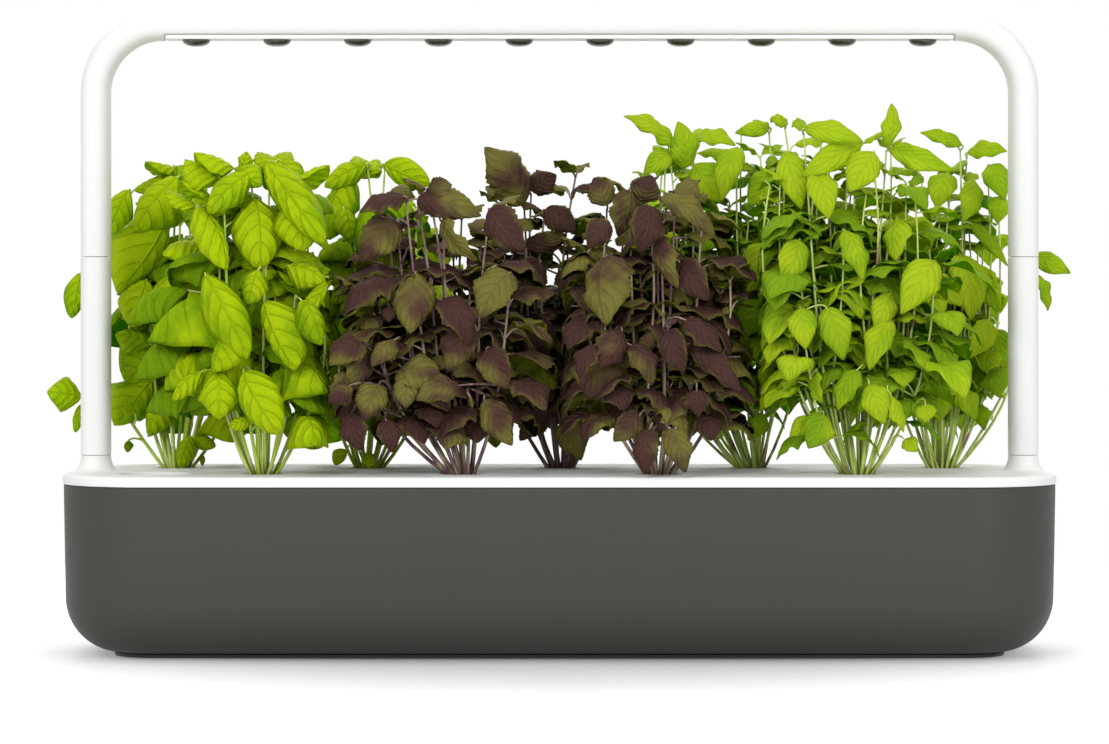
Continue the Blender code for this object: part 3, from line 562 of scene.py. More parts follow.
@dataclass(frozen=True)
class LeafSkin:
    """One herb's leaf: colours from shade to light, pale veins, patches and a quilted surface."""

    name: str
    shade: str
    light: str
    patch: str
    vein: str
    patch_share: float
    vein_share: float
    side_veins: float
    vein_slant: float
    roughness: float
    coat: float
    quilt: float
    through: float
    specular: float
    rim_share: float
    vein_bend: float = 1.5
    vein_width: float = 0.085
    vein_fade: tuple[float, float, float, float] = (0.55, 1.0, 0.8, 0.1)
    cloud: float = 0.016
    cloud_share: float = 0.5
    cell: float = 0.0022
    cell_share: float = 0.24
    # Painted shade: a ramp on the distance from the midrib that draws the blade lighter along its
    # middle and darker towards its rim, as light falls on a domed leaf
    dome: tuple[float, float, float, float] = (0.1, 1.0, 0.10, -0.24)
    lit_range: Pair = (0.1, 0.95)
    patch_size: float = 0.034
    patch_tone: float = 0.55
    patch_level: float = 1.05
    patch_drop: float = 0.75
    patch_soft: Pair = (0.08, 0.12)
    rim_range: Pair = (0.72, 1.0)
    below_share: float = 0.35
    below_matt: float = 0.2
    puff_share: float = 1.6
    cell_height: float = 0.5
    quilt_share: float = 0.7
    mottle: float = 0.06
    coat_roughness: float = 0.25
    scatter: Triple = (0.5, 1.0, 0.1)
    scatter_depth: float = 0.003

    def material(self, below: bool = False) -> Material:
        """Builds the material from the blade's own map: U runs from base to tip and V across.

        The midrib is where V is one half. A side vein is where side_veins * (U - slant *
        |2V - 1|^bend) is whole, so it bends towards the tip. The attribute "tone" sets how light a
        leaf is, and it carries painted shade on leaves deep inside a plant. The colour also darkens
        from midrib to rim, painted shade of the domed blade. Noise makes patches, and the rim takes
        on the patches' colour.

        Args:
            below: whether this is the paler, matt underside.

        Returns:
            The material.
        """
        made, tree, shader, place = shader_material(self.name + ("_below" if below else ""))
        blade = add(tree, "UVMap", {"uv_map": "blade"}).outputs[0]
        split = add(tree, "SeparateXYZ", None, {0: blade})
        along, across = split.outputs["X"], split.outputs["Y"]
        off = math_node(tree, "ABSOLUTE", math_node(tree, "MULTIPLY_ADD", across, 2.0, -1.0))
        bent = math_node(tree, "POWER", off, self.vein_bend)
        bent = math_node(tree, "MULTIPLY", bent, self.vein_slant)
        slanted = math_node(tree, "SUBTRACT", along, bent)
        beats = math_node(tree, "MULTIPLY", slanted, self.side_veins)
        beat = math_node(tree, "PINGPONG", beats, 0.5)
        side = ramp_node(tree, beat, 0.0, self.vein_width, 1.0, 0.0)
        side = math_node(tree, "MULTIPLY", side, ramp_node(tree, off, *self.vein_fade))
        rib = ramp_node(tree, off, 0.0, self.vein_width, 1.0, 0.0)
        veins = math_node(tree, "MAXIMUM", rib, side)

        cloud = noise_node(tree, place, self.cloud, 3.0)
        fine = noise_node(tree, place, self.cell)
        settings = {"attribute_name": "tone", "attribute_type": "GEOMETRY"}
        tone = add(tree, "Attribute", settings).outputs["Fac"]
        lit = tone
        for noise, share in ((cloud, self.cloud_share), (fine, self.cell_share)):
            varied = math_node(tree, "MULTIPLY_ADD", noise, share, -share / 2)
            lit = math_node(tree, "ADD", lit, varied)
        # Painted shade of the domed blade: lighter at the midrib, darker at the rim
        lit = math_node(tree, "ADD", lit, ramp_node(tree, off, *self.dome))
        lit = ramp_node(tree, lit, *self.lit_range)
        colour = blend_node(tree, lit, linear(self.shade), linear(self.light))
        patches = noise_node(tree, place, self.patch_size)
        patches = math_node(tree, "MULTIPLY_ADD", tone, self.patch_tone, patches)
        edge = self.patch_level - self.patch_share * self.patch_drop
        patchy = ramp_node(tree, patches, edge - self.patch_soft[0], edge + self.patch_soft[1])
        colour = blend_node(tree, patchy, colour, linear(self.patch))
        rims = math_node(tree, "MULTIPLY", ramp_node(tree, off, *self.rim_range), self.rim_share)
        colour = blend_node(tree, rims, colour, linear(self.patch))
        shown = math_node(tree, "MULTIPLY", veins, self.vein_share)
        colour = blend_node(tree, shown, colour, linear(self.vein))
        if below:
            colour = blend_node(tree, self.below_share, colour, linear(self.vein))

        puffed = math_node(tree, "MULTIPLY", beat, self.puff_share)
        puffed = math_node(tree, "SUBTRACT", puffed, veins)
        height = math_node(tree, "MULTIPLY_ADD", fine, self.cell_height, puffed)
        inputs = {"Height": height, "Distance": self.quilt, "Strength": self.quilt_share}
        bump = add(tree, "Bump", {"invert": below}, inputs)
        rough = self.roughness + (self.below_matt if below else 0.0)
        least, most = rough - self.mottle, rough + self.mottle
        feed(tree, shader, {
            "Base Color": colour,
            "Normal": bump.outputs[0],
            "Roughness": ramp_node(tree, fine, *WIDE_CLOUD, least, most),
            "Specular IOR Level": self.specular,
            "Coat Weight": 0.0 if below else self.coat,
            "Coat Roughness": self.coat_roughness,
            "Subsurface Weight": self.through,
            "Subsurface Radius": self.scatter,
            "Subsurface Scale": self.scatter_depth,
        })
        return made


@dataclass(frozen=True)
class StemSkin:
    """Herb stems: pale and fibrous, tinted at random along their length."""

    name: str
    colour: str
    tint: str
    tint_share: float
    stretch: float = 0.2
    cloud: float = 0.008
    tint_level: float = 0.75
    tint_drop: float = 0.5
    tint_soft: float = 0.1
    roughness: float = 0.45
    through: float = 0.15
    scatter: Triple = (0.8, 1.0, 0.4)
    scatter_depth: float = 0.002

    def material(self) -> Material:
        """Builds the material: noise drawn out along Z mixes the colour with the tint.

        Returns:
            The material.
        """
        made, tree, shader, place = shader_material(self.name)
        inputs = {"Vector": place, "Scale": (1.0, 1.0, self.stretch)}
        drawn = add(tree, "Mapping", None, inputs)
        cloud = noise_node(tree, drawn.outputs[0], self.cloud)
        edge = self.tint_level - self.tint_share * self.tint_drop
        share = ramp_node(tree, cloud, edge - self.tint_soft, edge + self.tint_soft)
        colour = blend_node(tree, share, linear(self.colour), linear(self.tint))
        feed(tree, shader, {
            "Base Color": colour,
            "Roughness": self.roughness,
            "Subsurface Weight": self.through,
            "Subsurface Radius": self.scatter,
            "Subsurface Scale": self.scatter_depth,
        })
        return made


class Finish(Enum):
    """Every finish of the garden that isn't a plant."""

    # Fine-textured ABS of the casing
    CASING = Moulded("casing_abs", "#454541", 0.5, mottle=0.03, grain_depth=0.00003, specular=0.15)
    # Black ABS of the foot plate and the inlet
    BLACK = Moulded("foot_abs", "#232323", 0.5)
    # Thermoplastic rubber of the feet
    RUBBER = Moulded("foot_rubber", "#1b1b1b", 0.8, mottle=0.05)
    # Semi-gloss white ABS of the arms and arch
    WHITE = Moulded("white_abs", "#f0f0ef", 0.4, mottle=0.03, grain_depth=0.000004, specular=0.14)
    # Satin white ABS of the deck
    DECK = Moulded("deck_abs", "#f4f4f2", 0.55, mottle=0.03, grain_depth=0.000004, specular=0.05)
    # Satin white polypropylene of the pods and the well
    POD = Moulded("pod_polypropylene", "#f2f2f0", 0.5, grain_depth=0.000006, specular=0.06)
    # Milky polypropylene of the tank
    TANK = Moulded("tank_polypropylene", "#dfe2e2", 0.38, mottle=0.06, through=0.2)
    # Matt polycarbonate strip that holds the lenses
    COVER = Moulded("cover_polycarbonate", "#fafaf9", 0.4, specular=0.2, through=0.3)
    # White solder mask of the LED board
    BOARD = Moulded("led_board_mask", "#f0efe8", 0.35, mottle=0.03)
    # Black nylon of the wire plugs
    NYLON = Moulded("plug_nylon", "#1e1e1f", 0.45)
    # Brass of the contact blocks
    BRASS = Metal("contact_brass", "#c9a255", 0.3)
    # Extruded aluminium of the heat sink
    ALUMINIUM = Metal("sink_aluminium", "#c9cacc", 0.35)
    # Moist peat and coir of the pods' medium
    SOIL = Crumbs("soil_medium", "#1a120c", "#4a3526")
    # Smoked acrylic of the lenses
    LENS = LensPlastic("lens_acrylic", "#5c5c54", "#45453e", 0.3815, 0.3862)


# Hard pieces


@dataclass(frozen=True)
class Plan:
    """The base's outline: a rectangle with round corners."""

    half_length: float = 0.308
    half_depth: float = 0.0925
    corner: float = 0.058
    steps: int = 24

    def rings(self, profile: Array) -> Array:
        """Draws the outline in by each inset of a profile and lifts it to its height.

        A point is the centre of its corner plus (corner - inset) times (cos a, sin a), where a
        goes once round the four corners.

        Args:
            profile: an array of (inset, height) by ring.

        Returns:
            An array of rings by points by three.
        """
        turn = np.linspace(0, pi / 2, self.steps + 1)[None] + np.arange(4)[:, None] * pi / 2
        quarter = np.repeat(np.arange(4), self.steps + 1)
        right = np.where((quarter == 0) | (quarter == 3), 1, -1)
        back = np.where(quarter < 2, 1, -1)
        inset, height = np.asarray(profile, float).T
        radius = self.corner - inset[:, None]
        x = right * (self.half_length - self.corner) + radius * np.cos(turn.ravel())
        y = back * (self.half_depth - self.corner) + radius * np.sin(turn.ravel())
        return np.stack([x, y, np.broadcast_to(height[:, None], x.shape)], axis=-1)


def quarter_curve(
    inset: float, height: float, wide: float, tall: float, steps: int
) -> list[Pair]:
    """Goes round a quarter of an ellipse, from its foot to its side.

    Args:
        inset: the inset of the side.
        height: the height of the foot.
        wide: how far the foot lies in from the side.
        tall: how far the side starts above the foot.
        steps: how many parts the curve has.

    Returns:
        (inset, height) points.
    """
    turn = np.linspace(pi / 2, 0, steps + 1)
    return list(zip(inset + wide * (1 - np.cos(turn)), height + tall * (1 - np.sin(turn))))


@dataclass
class Base:
    """The casing with its foot plate, feet, tank and power inlet."""

    plan: Plan
    bottom: float = 0.0033
    top: float = 0.107
    step: float = 0.0006
    draft: float = 0.0012
    fillet: float = 0.034
    wall: float = 0.003
    lip: float = 0.0009
    plate_inset: float = 0.032
    plate_bottom: float = 0.001
    plate_corner: float = 0.026
    foot_radius: float = 0.006
    foot_top: float = 0.0019
    foot_x: float = 0.254
    foot_y: float = 0.0385
    inlet_x: float = 0.18375
    inlet_height: float = 0.055
    inlet_flange: float = 0.0065
    inlet_barrel: float = 0.0045
    inlet_sink: float = 0.0012
    lip_share: float = 0.3
    ease: float = 0.0005
    outer_steps: int = 16
    inner_steps: int = 10
    seat_steps: int = 48
    foot_steps: int = 32

    def casing(self) -> Object:
        """Lofts the casing from its round foot to its lip and down its inside.

        Returns:
            The casing, with the seat of the power inlet cut out of its rear wall.
        """
        side = self.step + self.draft
        outside = quarter_curve(side, self.bottom, self.fillet, self.fillet, self.outer_steps)
        outside += [(self.step, self.top - self.lip)]
        outside += [(self.step + self.lip * self.lip_share, self.top - self.lip * self.lip_share)]
        outside += [(self.step + self.lip, self.top), (self.step + self.wall, self.top)]
        inner = self.fillet - self.wall
        floor = self.bottom + self.wall
        inside = quarter_curve(side + self.wall, floor, inner, inner, self.inner_steps)
        made = skin("casing", self.plan.rings(np.array(outside + inside[::-1])))
        wall_y = self.plan.half_depth - self.step - self.draft / 2
        seats = []
        steps = (self.inlet_flange, self.inlet_sink), (self.inlet_barrel, self.wall * 2)
        for radius, deep in steps:
            rings = barrel(radius + GAP, wall_y - deep, wall_y + 2 * OVERRUN, self.seat_steps)
            rings[..., 0] += self.inlet_x
            rings[..., 2] += self.inlet_height
            seats.append(skin("seat", rings))
        carved(made, "DIFFERENCE", seats)
        return made

    def plate(self) -> Object:
        """Lofts the recessed foot plate with a soft lower edge.

        Returns:
            The plate, with a pocket for each foot.
        """
        outline = Plan(
            self.plan.half_length - self.plate_inset,
            self.plan.half_depth - self.plate_inset,
            self.plate_corner,
        )
        low, upper = self.plate_bottom, self.bottom - GAP
        profile = [(self.ease, low), (0, low + self.ease), (0, upper)]
        made = skin("foot_plate", outline.rings(np.array(profile)))
        pockets = []
        for x, y in self.feet_places():
            hole, high = self.foot_radius + GAP, self.foot_top + GAP
            profile = np.array([(0, -OVERRUN), (hole, -OVERRUN), (hole, high), (0, high)])
            pockets.append(turned("pocket", profile, (x, y), self.foot_steps))
        carved(made, "DIFFERENCE", pockets)
        return made

    def feet_places(self) -> list[Pair]:
        """Says where the feet stand.

        Returns:
            (x, y) of each foot.
        """
        return [(x * self.foot_x, y * self.foot_y) for x in (-1, 1) for y in (-1, 1)]

    def feet(self) -> Object:
        """Turns the four rubber feet.

        Returns:
            One object that holds them.
        """
        wide, high = self.foot_radius, self.foot_top
        profile = rounded([(0, 0), (wide, 0), (wide, high), (0, high)], self.ease)
        feet = [turned("foot", profile, at, self.foot_steps) for at in self.feet_places()]
        return joined("rubber_feet", feet)

    def build(self) -> None:
        """Builds and dresses the base's pieces, and dresses its CAD nodes."""
        dressed(self.casing(), Finish.CASING.value.material(), "base", "outer_casing")
        dressed(self.plate(), Finish.BLACK.value.material(), "base", "base_plate")
        feet = ["foot_front_left", "foot_front_right", "foot_rear_left", "foot_rear_right"]
        dressed(self.feet(), Finish.RUBBER.value.material(), "base", *feet)
        LOG.info("base: casing, foot plate and feet")


def barrel(radius: float, near: float, far: float, steps: int) -> Array:
    """Gives the two rings of a round bar that lies along Y.

    Args:
        radius: its radius.
        near: where it starts on Y.
        far: where it ends on Y.
        steps: how many parts the round has.

    Returns:
        An array of two rings by points by three.
    """
    turn = np.linspace(0, 2 * pi, steps, endpoint=False)
    circle = np.stack([radius * np.cos(turn), np.zeros(steps), radius * np.sin(turn)], axis=-1)
    return circle[None] + np.array([[0, near, 0], [0, far, 0]])[:, None]


def oval(half_width: Array, half_depth: Array, height: Array, steps: int) -> Array:
    """Gives oval rings about Z: (half_width cos a, half_depth sin a) at each height.

    Args:
        half_width: half the width of each ring.
        half_depth: half the depth of each ring.
        height: the height of each ring.
        steps: how many points a ring has.

    Returns:
        An array of rings by points by three.
    """
    turn = np.linspace(0, 2 * pi, steps, endpoint=False)
    x = np.asarray(half_width)[:, None] * np.cos(turn)
    y = np.asarray(half_depth)[:, None] * np.sin(turn)
    return np.stack([x, y, np.broadcast_to(np.asarray(height)[:, None], x.shape)], axis=-1)


@dataclass
class Deck:
    """The white deck with its pod seats and the flared sockets of the arms."""

    plan: Plan
    places: list[Pair]
    well_at: Pair = (-0.250, -0.042)
    rim_bottom: float = 0.1073
    top: float = 0.1135
    under: float = 0.1105
    skirt_bottom: float = 0.099
    skirt_inset: float = 0.004
    skirt_wall: float = 0.002
    rim_fillet: float = 0.0025
    seat_depth: float = 0.0018
    seat_edge: float = 0.0003
    pod_flange: float = 0.03525
    pod_cup: float = 0.0296
    well_flange: float = 0.0275
    well: float = 0.024
    arm_x: float = 0.292
    arm_width: float = 0.0093
    arm_depth: float = 0.014
    arm_wall: float = 0.0018
    socket_wall: float = 0.0015
    socket_floor: float = 0.002
    socket_depth: float = 0.0233
    boss_height: float = 0.0098
    boss_width: float = 0.0055
    boss_depth: float = 0.0065
    boss_shoulder: float = 0.0025
    boss_edge: float = 0.00005
    boss_steps: int = 15
    boss_around: int = 64
    edge: float = 0.0004
    flat_start: float = 0.0008
    rim_steps: int = 9
    seat_steps: int = 96
    bore_steps: int = 48

    def slab(self) -> Object:
        """Lofts the deck: its skirt, its rim with a rounded upper edge, and its flat top.

        Returns:
            The deck before anything is cut.
        """
        inner = self.skirt_inset + self.skirt_wall
        profile = [(inner, self.under), (inner, self.skirt_bottom)]
        profile += [(self.skirt_inset, self.skirt_bottom), (self.skirt_inset, self.rim_bottom)]
        profile += [(self.edge, self.rim_bottom), (0, self.rim_bottom + self.edge)]
        turn = np.linspace(0, pi / 2, self.rim_steps)
        drawn_in = self.rim_fillet * (1 - np.cos(turn))
        height = self.top - self.rim_fillet * (1 - np.sin(turn))
        profile += list(zip(drawn_in, height))
        profile += [(self.rim_fillet + self.flat_start, self.top)]
        return skin("deck", self.plan.rings(np.array(profile)))

    def boss(self, side: int) -> Object:
        """Lofts an arm's socket with its flare, a quarter of an ellipse that leaves the deck flat.

        Args:
            side: -1 for left and 1 for right.

        Returns:
            The boss.
        """
        low = self.top + self.boss_height - self.socket_depth - self.socket_floor
        turn = np.linspace(0, pi / 2, self.boss_steps)
        outward = 1 - np.sin(turn)
        shoulder = self.top - self.boss_shoulder
        width = [self.arm_width + self.socket_wall] * 2 + [self.arm_width + self.boss_width]
        depth = [self.arm_depth + self.socket_wall] * 2 + [self.arm_depth + self.boss_depth]
        width += list(self.arm_width + self.boss_width * outward)
        depth += list(self.arm_depth + self.boss_depth * outward)
        height = [low, shoulder, shoulder, *(self.top + self.boss_height * (1 - np.cos(turn)))]
        height[3] -= self.boss_edge
        rings = oval(width, depth, height, self.boss_around)
        rings[..., 0] += side * self.arm_x
        return skin("boss", rings)

    def seat(self, hole: float, flange: float, at: Pair) -> Object:
        """Turns the cutter of a round seat whose upper edge is eased.

        Args:
            hole: the through hole's radius.
            flange: the seat's radius.
            at: (x, y) of the seat.

        Returns:
            The cutter.
        """
        level = self.top - self.seat_depth
        low, high = self.under - OVERRUN, self.top + OVERRUN
        wide = flange + GAP
        profile = [(0, low), (hole + GAP, low), (hole + GAP, level), (wide, level)]
        profile += [(wide, self.top - self.seat_edge), (wide + self.seat_edge, self.top)]
        profile += [(wide + self.seat_edge, high), (0, high)]
        return turned("seat", np.array(profile), at, self.seat_steps)

    def build(self) -> None:
        """Builds and dresses the deck."""
        made = self.slab()
        carved(made, "UNION", [self.boss(-1), self.boss(1)])
        cutters = [self.seat(self.pod_cup, self.pod_flange, at) for at in self.places]
        cutters.append(self.seat(self.well, self.well_flange, self.well_at))
        high = self.top + self.boss_height
        for side in (-1, 1):
            inner_width = self.arm_width - self.arm_wall
            inner_depth = self.arm_depth - self.arm_wall
            heights = [high - self.socket_depth, high + OVERRUN]
            rings = oval([inner_width] * 2, [inner_depth] * 2, heights, self.bore_steps)
            rings[..., 0] += side * self.arm_x
            cutters.append(skin("bore", rings))
        carved(made, "DIFFERENCE", cutters)
        dressed(made, Finish.DECK.value.material(), "deck", "grow_deck")
        LOG.info("deck: %d pod seats", len(self.places))


@dataclass
class Well:
    """The filler well with its level float."""

    at: Pair = (-0.250, -0.042)
    top: float = 0.1135
    bottom: float = 0.0218
    flange: float = 0.0275
    flange_thickness: float = 0.0015
    radius: float = 0.024
    wall: float = 0.0015
    stop: float = 0.002
    stop_radius: float = 0.010
    rib: float = 0.002
    rib_turn_share: float = 0.14
    float_radius: float = 0.0135
    float_height: float = 0.034
    float_top: float = 0.112
    float_ease: float = 0.0007
    float_steps: int = 64
    dish: float = 0.0008
    dish_shares: tuple[float, ...] = (0.82, 0.78, 0.3, 0.26)
    ease: float = 0.0005
    steps: int = 96
    rib_foot: float = 0.001
    rib_drop: float = 0.010

    def guide(self) -> Object:
        """Turns the well with its flange and adds the three ribs that guide the float.

        Returns:
            The well.
        """
        inner = self.radius - self.wall
        outline = [
            (self.stop_radius, self.bottom),
            (self.radius, self.bottom),
            (self.radius, self.top - self.flange_thickness),
            (self.flange, self.top - self.flange_thickness),
            (self.flange, self.top),
            (inner, self.top),
            (inner, self.bottom + self.stop),
            (self.stop_radius, self.bottom + self.stop),
        ]
        made = turned("filler_well", rounded(outline, self.ease), self.at, self.steps)
        heights = (self.bottom + self.rib_foot, self.top - self.rib_drop)
        ribs = []
        for i in range(3):
            turn = 2 * pi * (i + self.rib_turn_share) / 3
            near, far = self.float_radius + GAP, self.radius - self.wall / 2
            corners = np.array([(near, -1), (far, -1), (far, 1), (near, 1)]) * (1, self.rib / 2)
            spin = np.array([[np.cos(turn), np.sin(turn)], [-np.sin(turn), np.cos(turn)]])
            flat = corners @ spin + self.at
            rings = np.stack([np.column_stack([flat, np.full(len(flat), z)]) for z in heights])
            ribs.append(skin("rib", rings))
        carved(made, "UNION", ribs)
        return made

    def float_body(self) -> Object:
        """Turns the float, with a shallow dish and a knob on its top.

        Returns:
            The float.
        """
        low = self.float_top - self.float_height
        r, top = self.float_radius, self.float_top
        rim, dish_rim, knob_foot, knob = (r * share for share in self.dish_shares)
        outline = [(0, low), (r, low), (r, top), (rim, top), (dish_rim, top - self.dish)]
        outline += [(knob_foot, top - self.dish), (knob, top), (0, top)]
        return turned("float", rounded(outline, self.float_ease), self.at, self.float_steps)

    def build(self) -> None:
        """Builds and dresses the well and its float."""
        dressed(self.guide(), Finish.POD.value.material(), "deck", "float_guide")
        dressed(self.float_body(), Finish.POD.value.material(), "float", "level_float")
        LOG.info("well: guide and float")


@dataclass
class Lamp:
    """The two arm extensions and the arch with the lamp head under its bar."""

    arm_x: float = 0.292
    half_width: float = 0.0093
    half_depth: float = 0.014
    wall: float = 0.0018
    extension_bottom: float = 0.1236
    extension_top: float = 0.2477
    leg_bottom: float = 0.248
    bend_start: float = 0.3513
    bend_radius: float = 0.042
    flat_level: float = 0.3876
    flat_end: float = 0.248
    seam: float = 0.0004
    squareness: float = 2.6
    cover_top: float = 0.3873
    cover_bottom: float = 0.3846
    cover_end: float = 0.2475
    cover_depth: float = 0.0106
    lens_radius: float = 0.0088
    lens_bottom: float = 0.3804
    lens_neck: float = 0.0075
    neck_top: float = 0.3884
    lens_first: float = -0.2288
    lens_pitch: float = 0.0508444
    lenses: int = 10
    around: int = 56
    bend_steps: int = 22
    leg_edge: float = 0.002
    flat_step: float = 0.0006
    flat_wall: float = 0.0013
    cover_ease: float = 0.0004
    cover_corner: float = 0.0016
    cover_steps: int = 4
    lens_steps: int = 48
    dome_steps: int = 14
    dome_power: float = 0.8

    def section(self, shrink: float = 0.0) -> tuple[Array, Array]:
        """Gives the arm's section, an oval with fuller corners.

        Across is half_width * |cos a|^(2/n) and deep is half_depth * |sin a|^(2/n), each with its
        sign, where n is the squareness: 2 is a plain oval.

        Args:
            shrink: how far the section is drawn in.

        Returns:
            The points' places across the arm and along Y.
        """
        turn = np.linspace(0, 2 * pi, self.around, endpoint=False)
        power = 2 / self.squareness
        across = np.sign(np.cos(turn)) * np.abs(np.cos(turn)) ** power
        deep = np.sign(np.sin(turn)) * np.abs(np.sin(turn)) ** power
        return (self.half_width - shrink) * across, (self.half_depth - shrink) * deep

    def upright(self, low: float, high: float, side: int) -> Object:
        """Lofts an extension, a tube whose ends are eased where the seams show.

        Args:
            low: its lower end.
            high: its upper end.
            side: -1 for left and 1 for right.

        Returns:
            The extension.
        """
        shrinks = [self.seam, 0, 0, self.seam, self.wall, self.wall]
        heights = [low, low + self.seam, high - self.seam, high, high, low]
        rings = []
        for shrink, height in zip(shrinks, heights):
            across, deep = self.section(shrink)
            level = np.full(self.around, height)
            rings.append(np.stack([across + side * self.arm_x, deep, level], axis=-1))
        return skin("arm_extension", np.stack(rings), looped=True)

    def arch(self) -> Object:
        """Carries the section along one leg, round both bends and down the other leg.

        A ring stands square to the path: its across goes (cos a, 0, -sin a), where a is how far
        the path has turned from straight up. Between the ends of the flat, points of the skin
        stay above the level of the flat.

        Returns:
            The arch, open at both feet where the plugs go in.
        """
        turn = np.linspace(0, pi / 2, self.bend_steps + 1)
        bend_x = -self.arm_x + self.bend_radius * (1 - np.cos(turn))
        bend_z = self.bend_start + self.bend_radius * np.sin(turn)
        leg = [(-self.arm_x, self.leg_bottom, 0.0), (-self.arm_x, self.leg_bottom + self.seam, 0.0)]
        leg += [(-self.arm_x, self.leg_bottom + self.leg_edge, 0.0)]
        half = leg + list(zip(bend_x, bend_z, turn))
        bar_z = self.bend_start + self.bend_radius
        for step in (-self.flat_step, self.flat_step):
            half.append((-self.flat_end + step, bar_z, pi / 2))
        path = half + [(-x, z, pi - a) for x, z, a in reversed(half)]
        shrinks = np.zeros(len(path))
        shrinks[[0, -1]] = self.seam
        outside, inside = [], []
        for (x, z, a), shrink in zip(path, shrinks):
            for rings, drawn in ((outside, shrink), (inside, self.wall)):
                across, deep = self.section(drawn)
                ring_z = z - across * np.sin(a)
                if abs(x) < self.flat_end:
                    floor = self.flat_level + (self.flat_wall if drawn >= self.wall else 0.0)
                    ring_z = np.maximum(ring_z, floor)
                rings.append(np.stack([x + across * np.cos(a), deep, ring_z], axis=-1))
        return skin("arch", np.stack(outside + inside[::-1]), looped=True)

    def cover(self) -> Object:
        """Lofts the strip that closes the bar, with eased edges and a round hole for each lens.

        Returns:
            The strip.
        """
        ease, bottom = self.cover_ease, self.cover_bottom
        profile = np.array([(ease, bottom), (0, bottom + ease), (0, self.cover_top)])
        outline = Plan(self.cover_end, self.cover_depth, self.cover_corner, self.cover_steps)
        made = skin("cover", outline.rings(profile))
        wide = self.lens_radius + GAP
        low, high = bottom - OVERRUN, self.cover_top + OVERRUN
        hole = np.array([(0, low), (wide, low), (wide, high), (0, high)])
        holes = [turned("hole", hole, (x, 0), self.lens_steps) for x in self.lens_places()]
        carved(made, "DIFFERENCE", holes)
        return made

    def lens_places(self) -> Array:
        """Says where the lenses sit along the bar.

        Returns:
            The X of each lens.
        """
        return self.lens_first + self.lens_pitch * np.arange(self.lenses)

    def lens(self, number: int) -> Object:
        """Turns a lens: a neck, a brim in the cover, and a dome below it.

        Args:
            number: which lens, from 1.

        Returns:
            The lens.
        """
        turn = np.linspace(0, pi / 2, self.dome_steps)
        drop = self.cover_bottom - self.lens_bottom
        profile = [(0, self.neck_top), (self.lens_neck, self.neck_top)]
        profile += [(self.lens_neck, self.cover_top), (self.lens_radius, self.cover_top)]
        radius = self.lens_radius * np.cos(turn) ** self.dome_power
        profile += list(zip(radius, self.cover_bottom - drop * np.sin(turn)))
        x = self.lens_places()[number - 1]
        return turned(f"dome_{number:02d}", np.array(profile), (x, 0), self.lens_steps)

    def build(self) -> None:
        """Builds and dresses the arms, the arch and the lamp head."""
        white = Finish.WHITE.value.material()
        for side, word in ((-1, "left"), (1, "right")):
            tube = self.upright(self.extension_bottom, self.extension_top, side)
            dressed(tube, white, f"arm_{word}", f"arm_extension_{word}")
        dressed(self.arch(), white, "lamp", "lamp_arch")
        dressed(self.cover(), Finish.COVER.value.material(), "lamp", "lens_cover")
        smoked = Finish.LENS.value.material()
        for number in range(1, self.lenses + 1):
            dressed(self.lens(number), smoked, "lamp", f"lens_{number:02d}")
        LOG.info("lamp: arms, arch, cover and %d lenses", self.lenses)


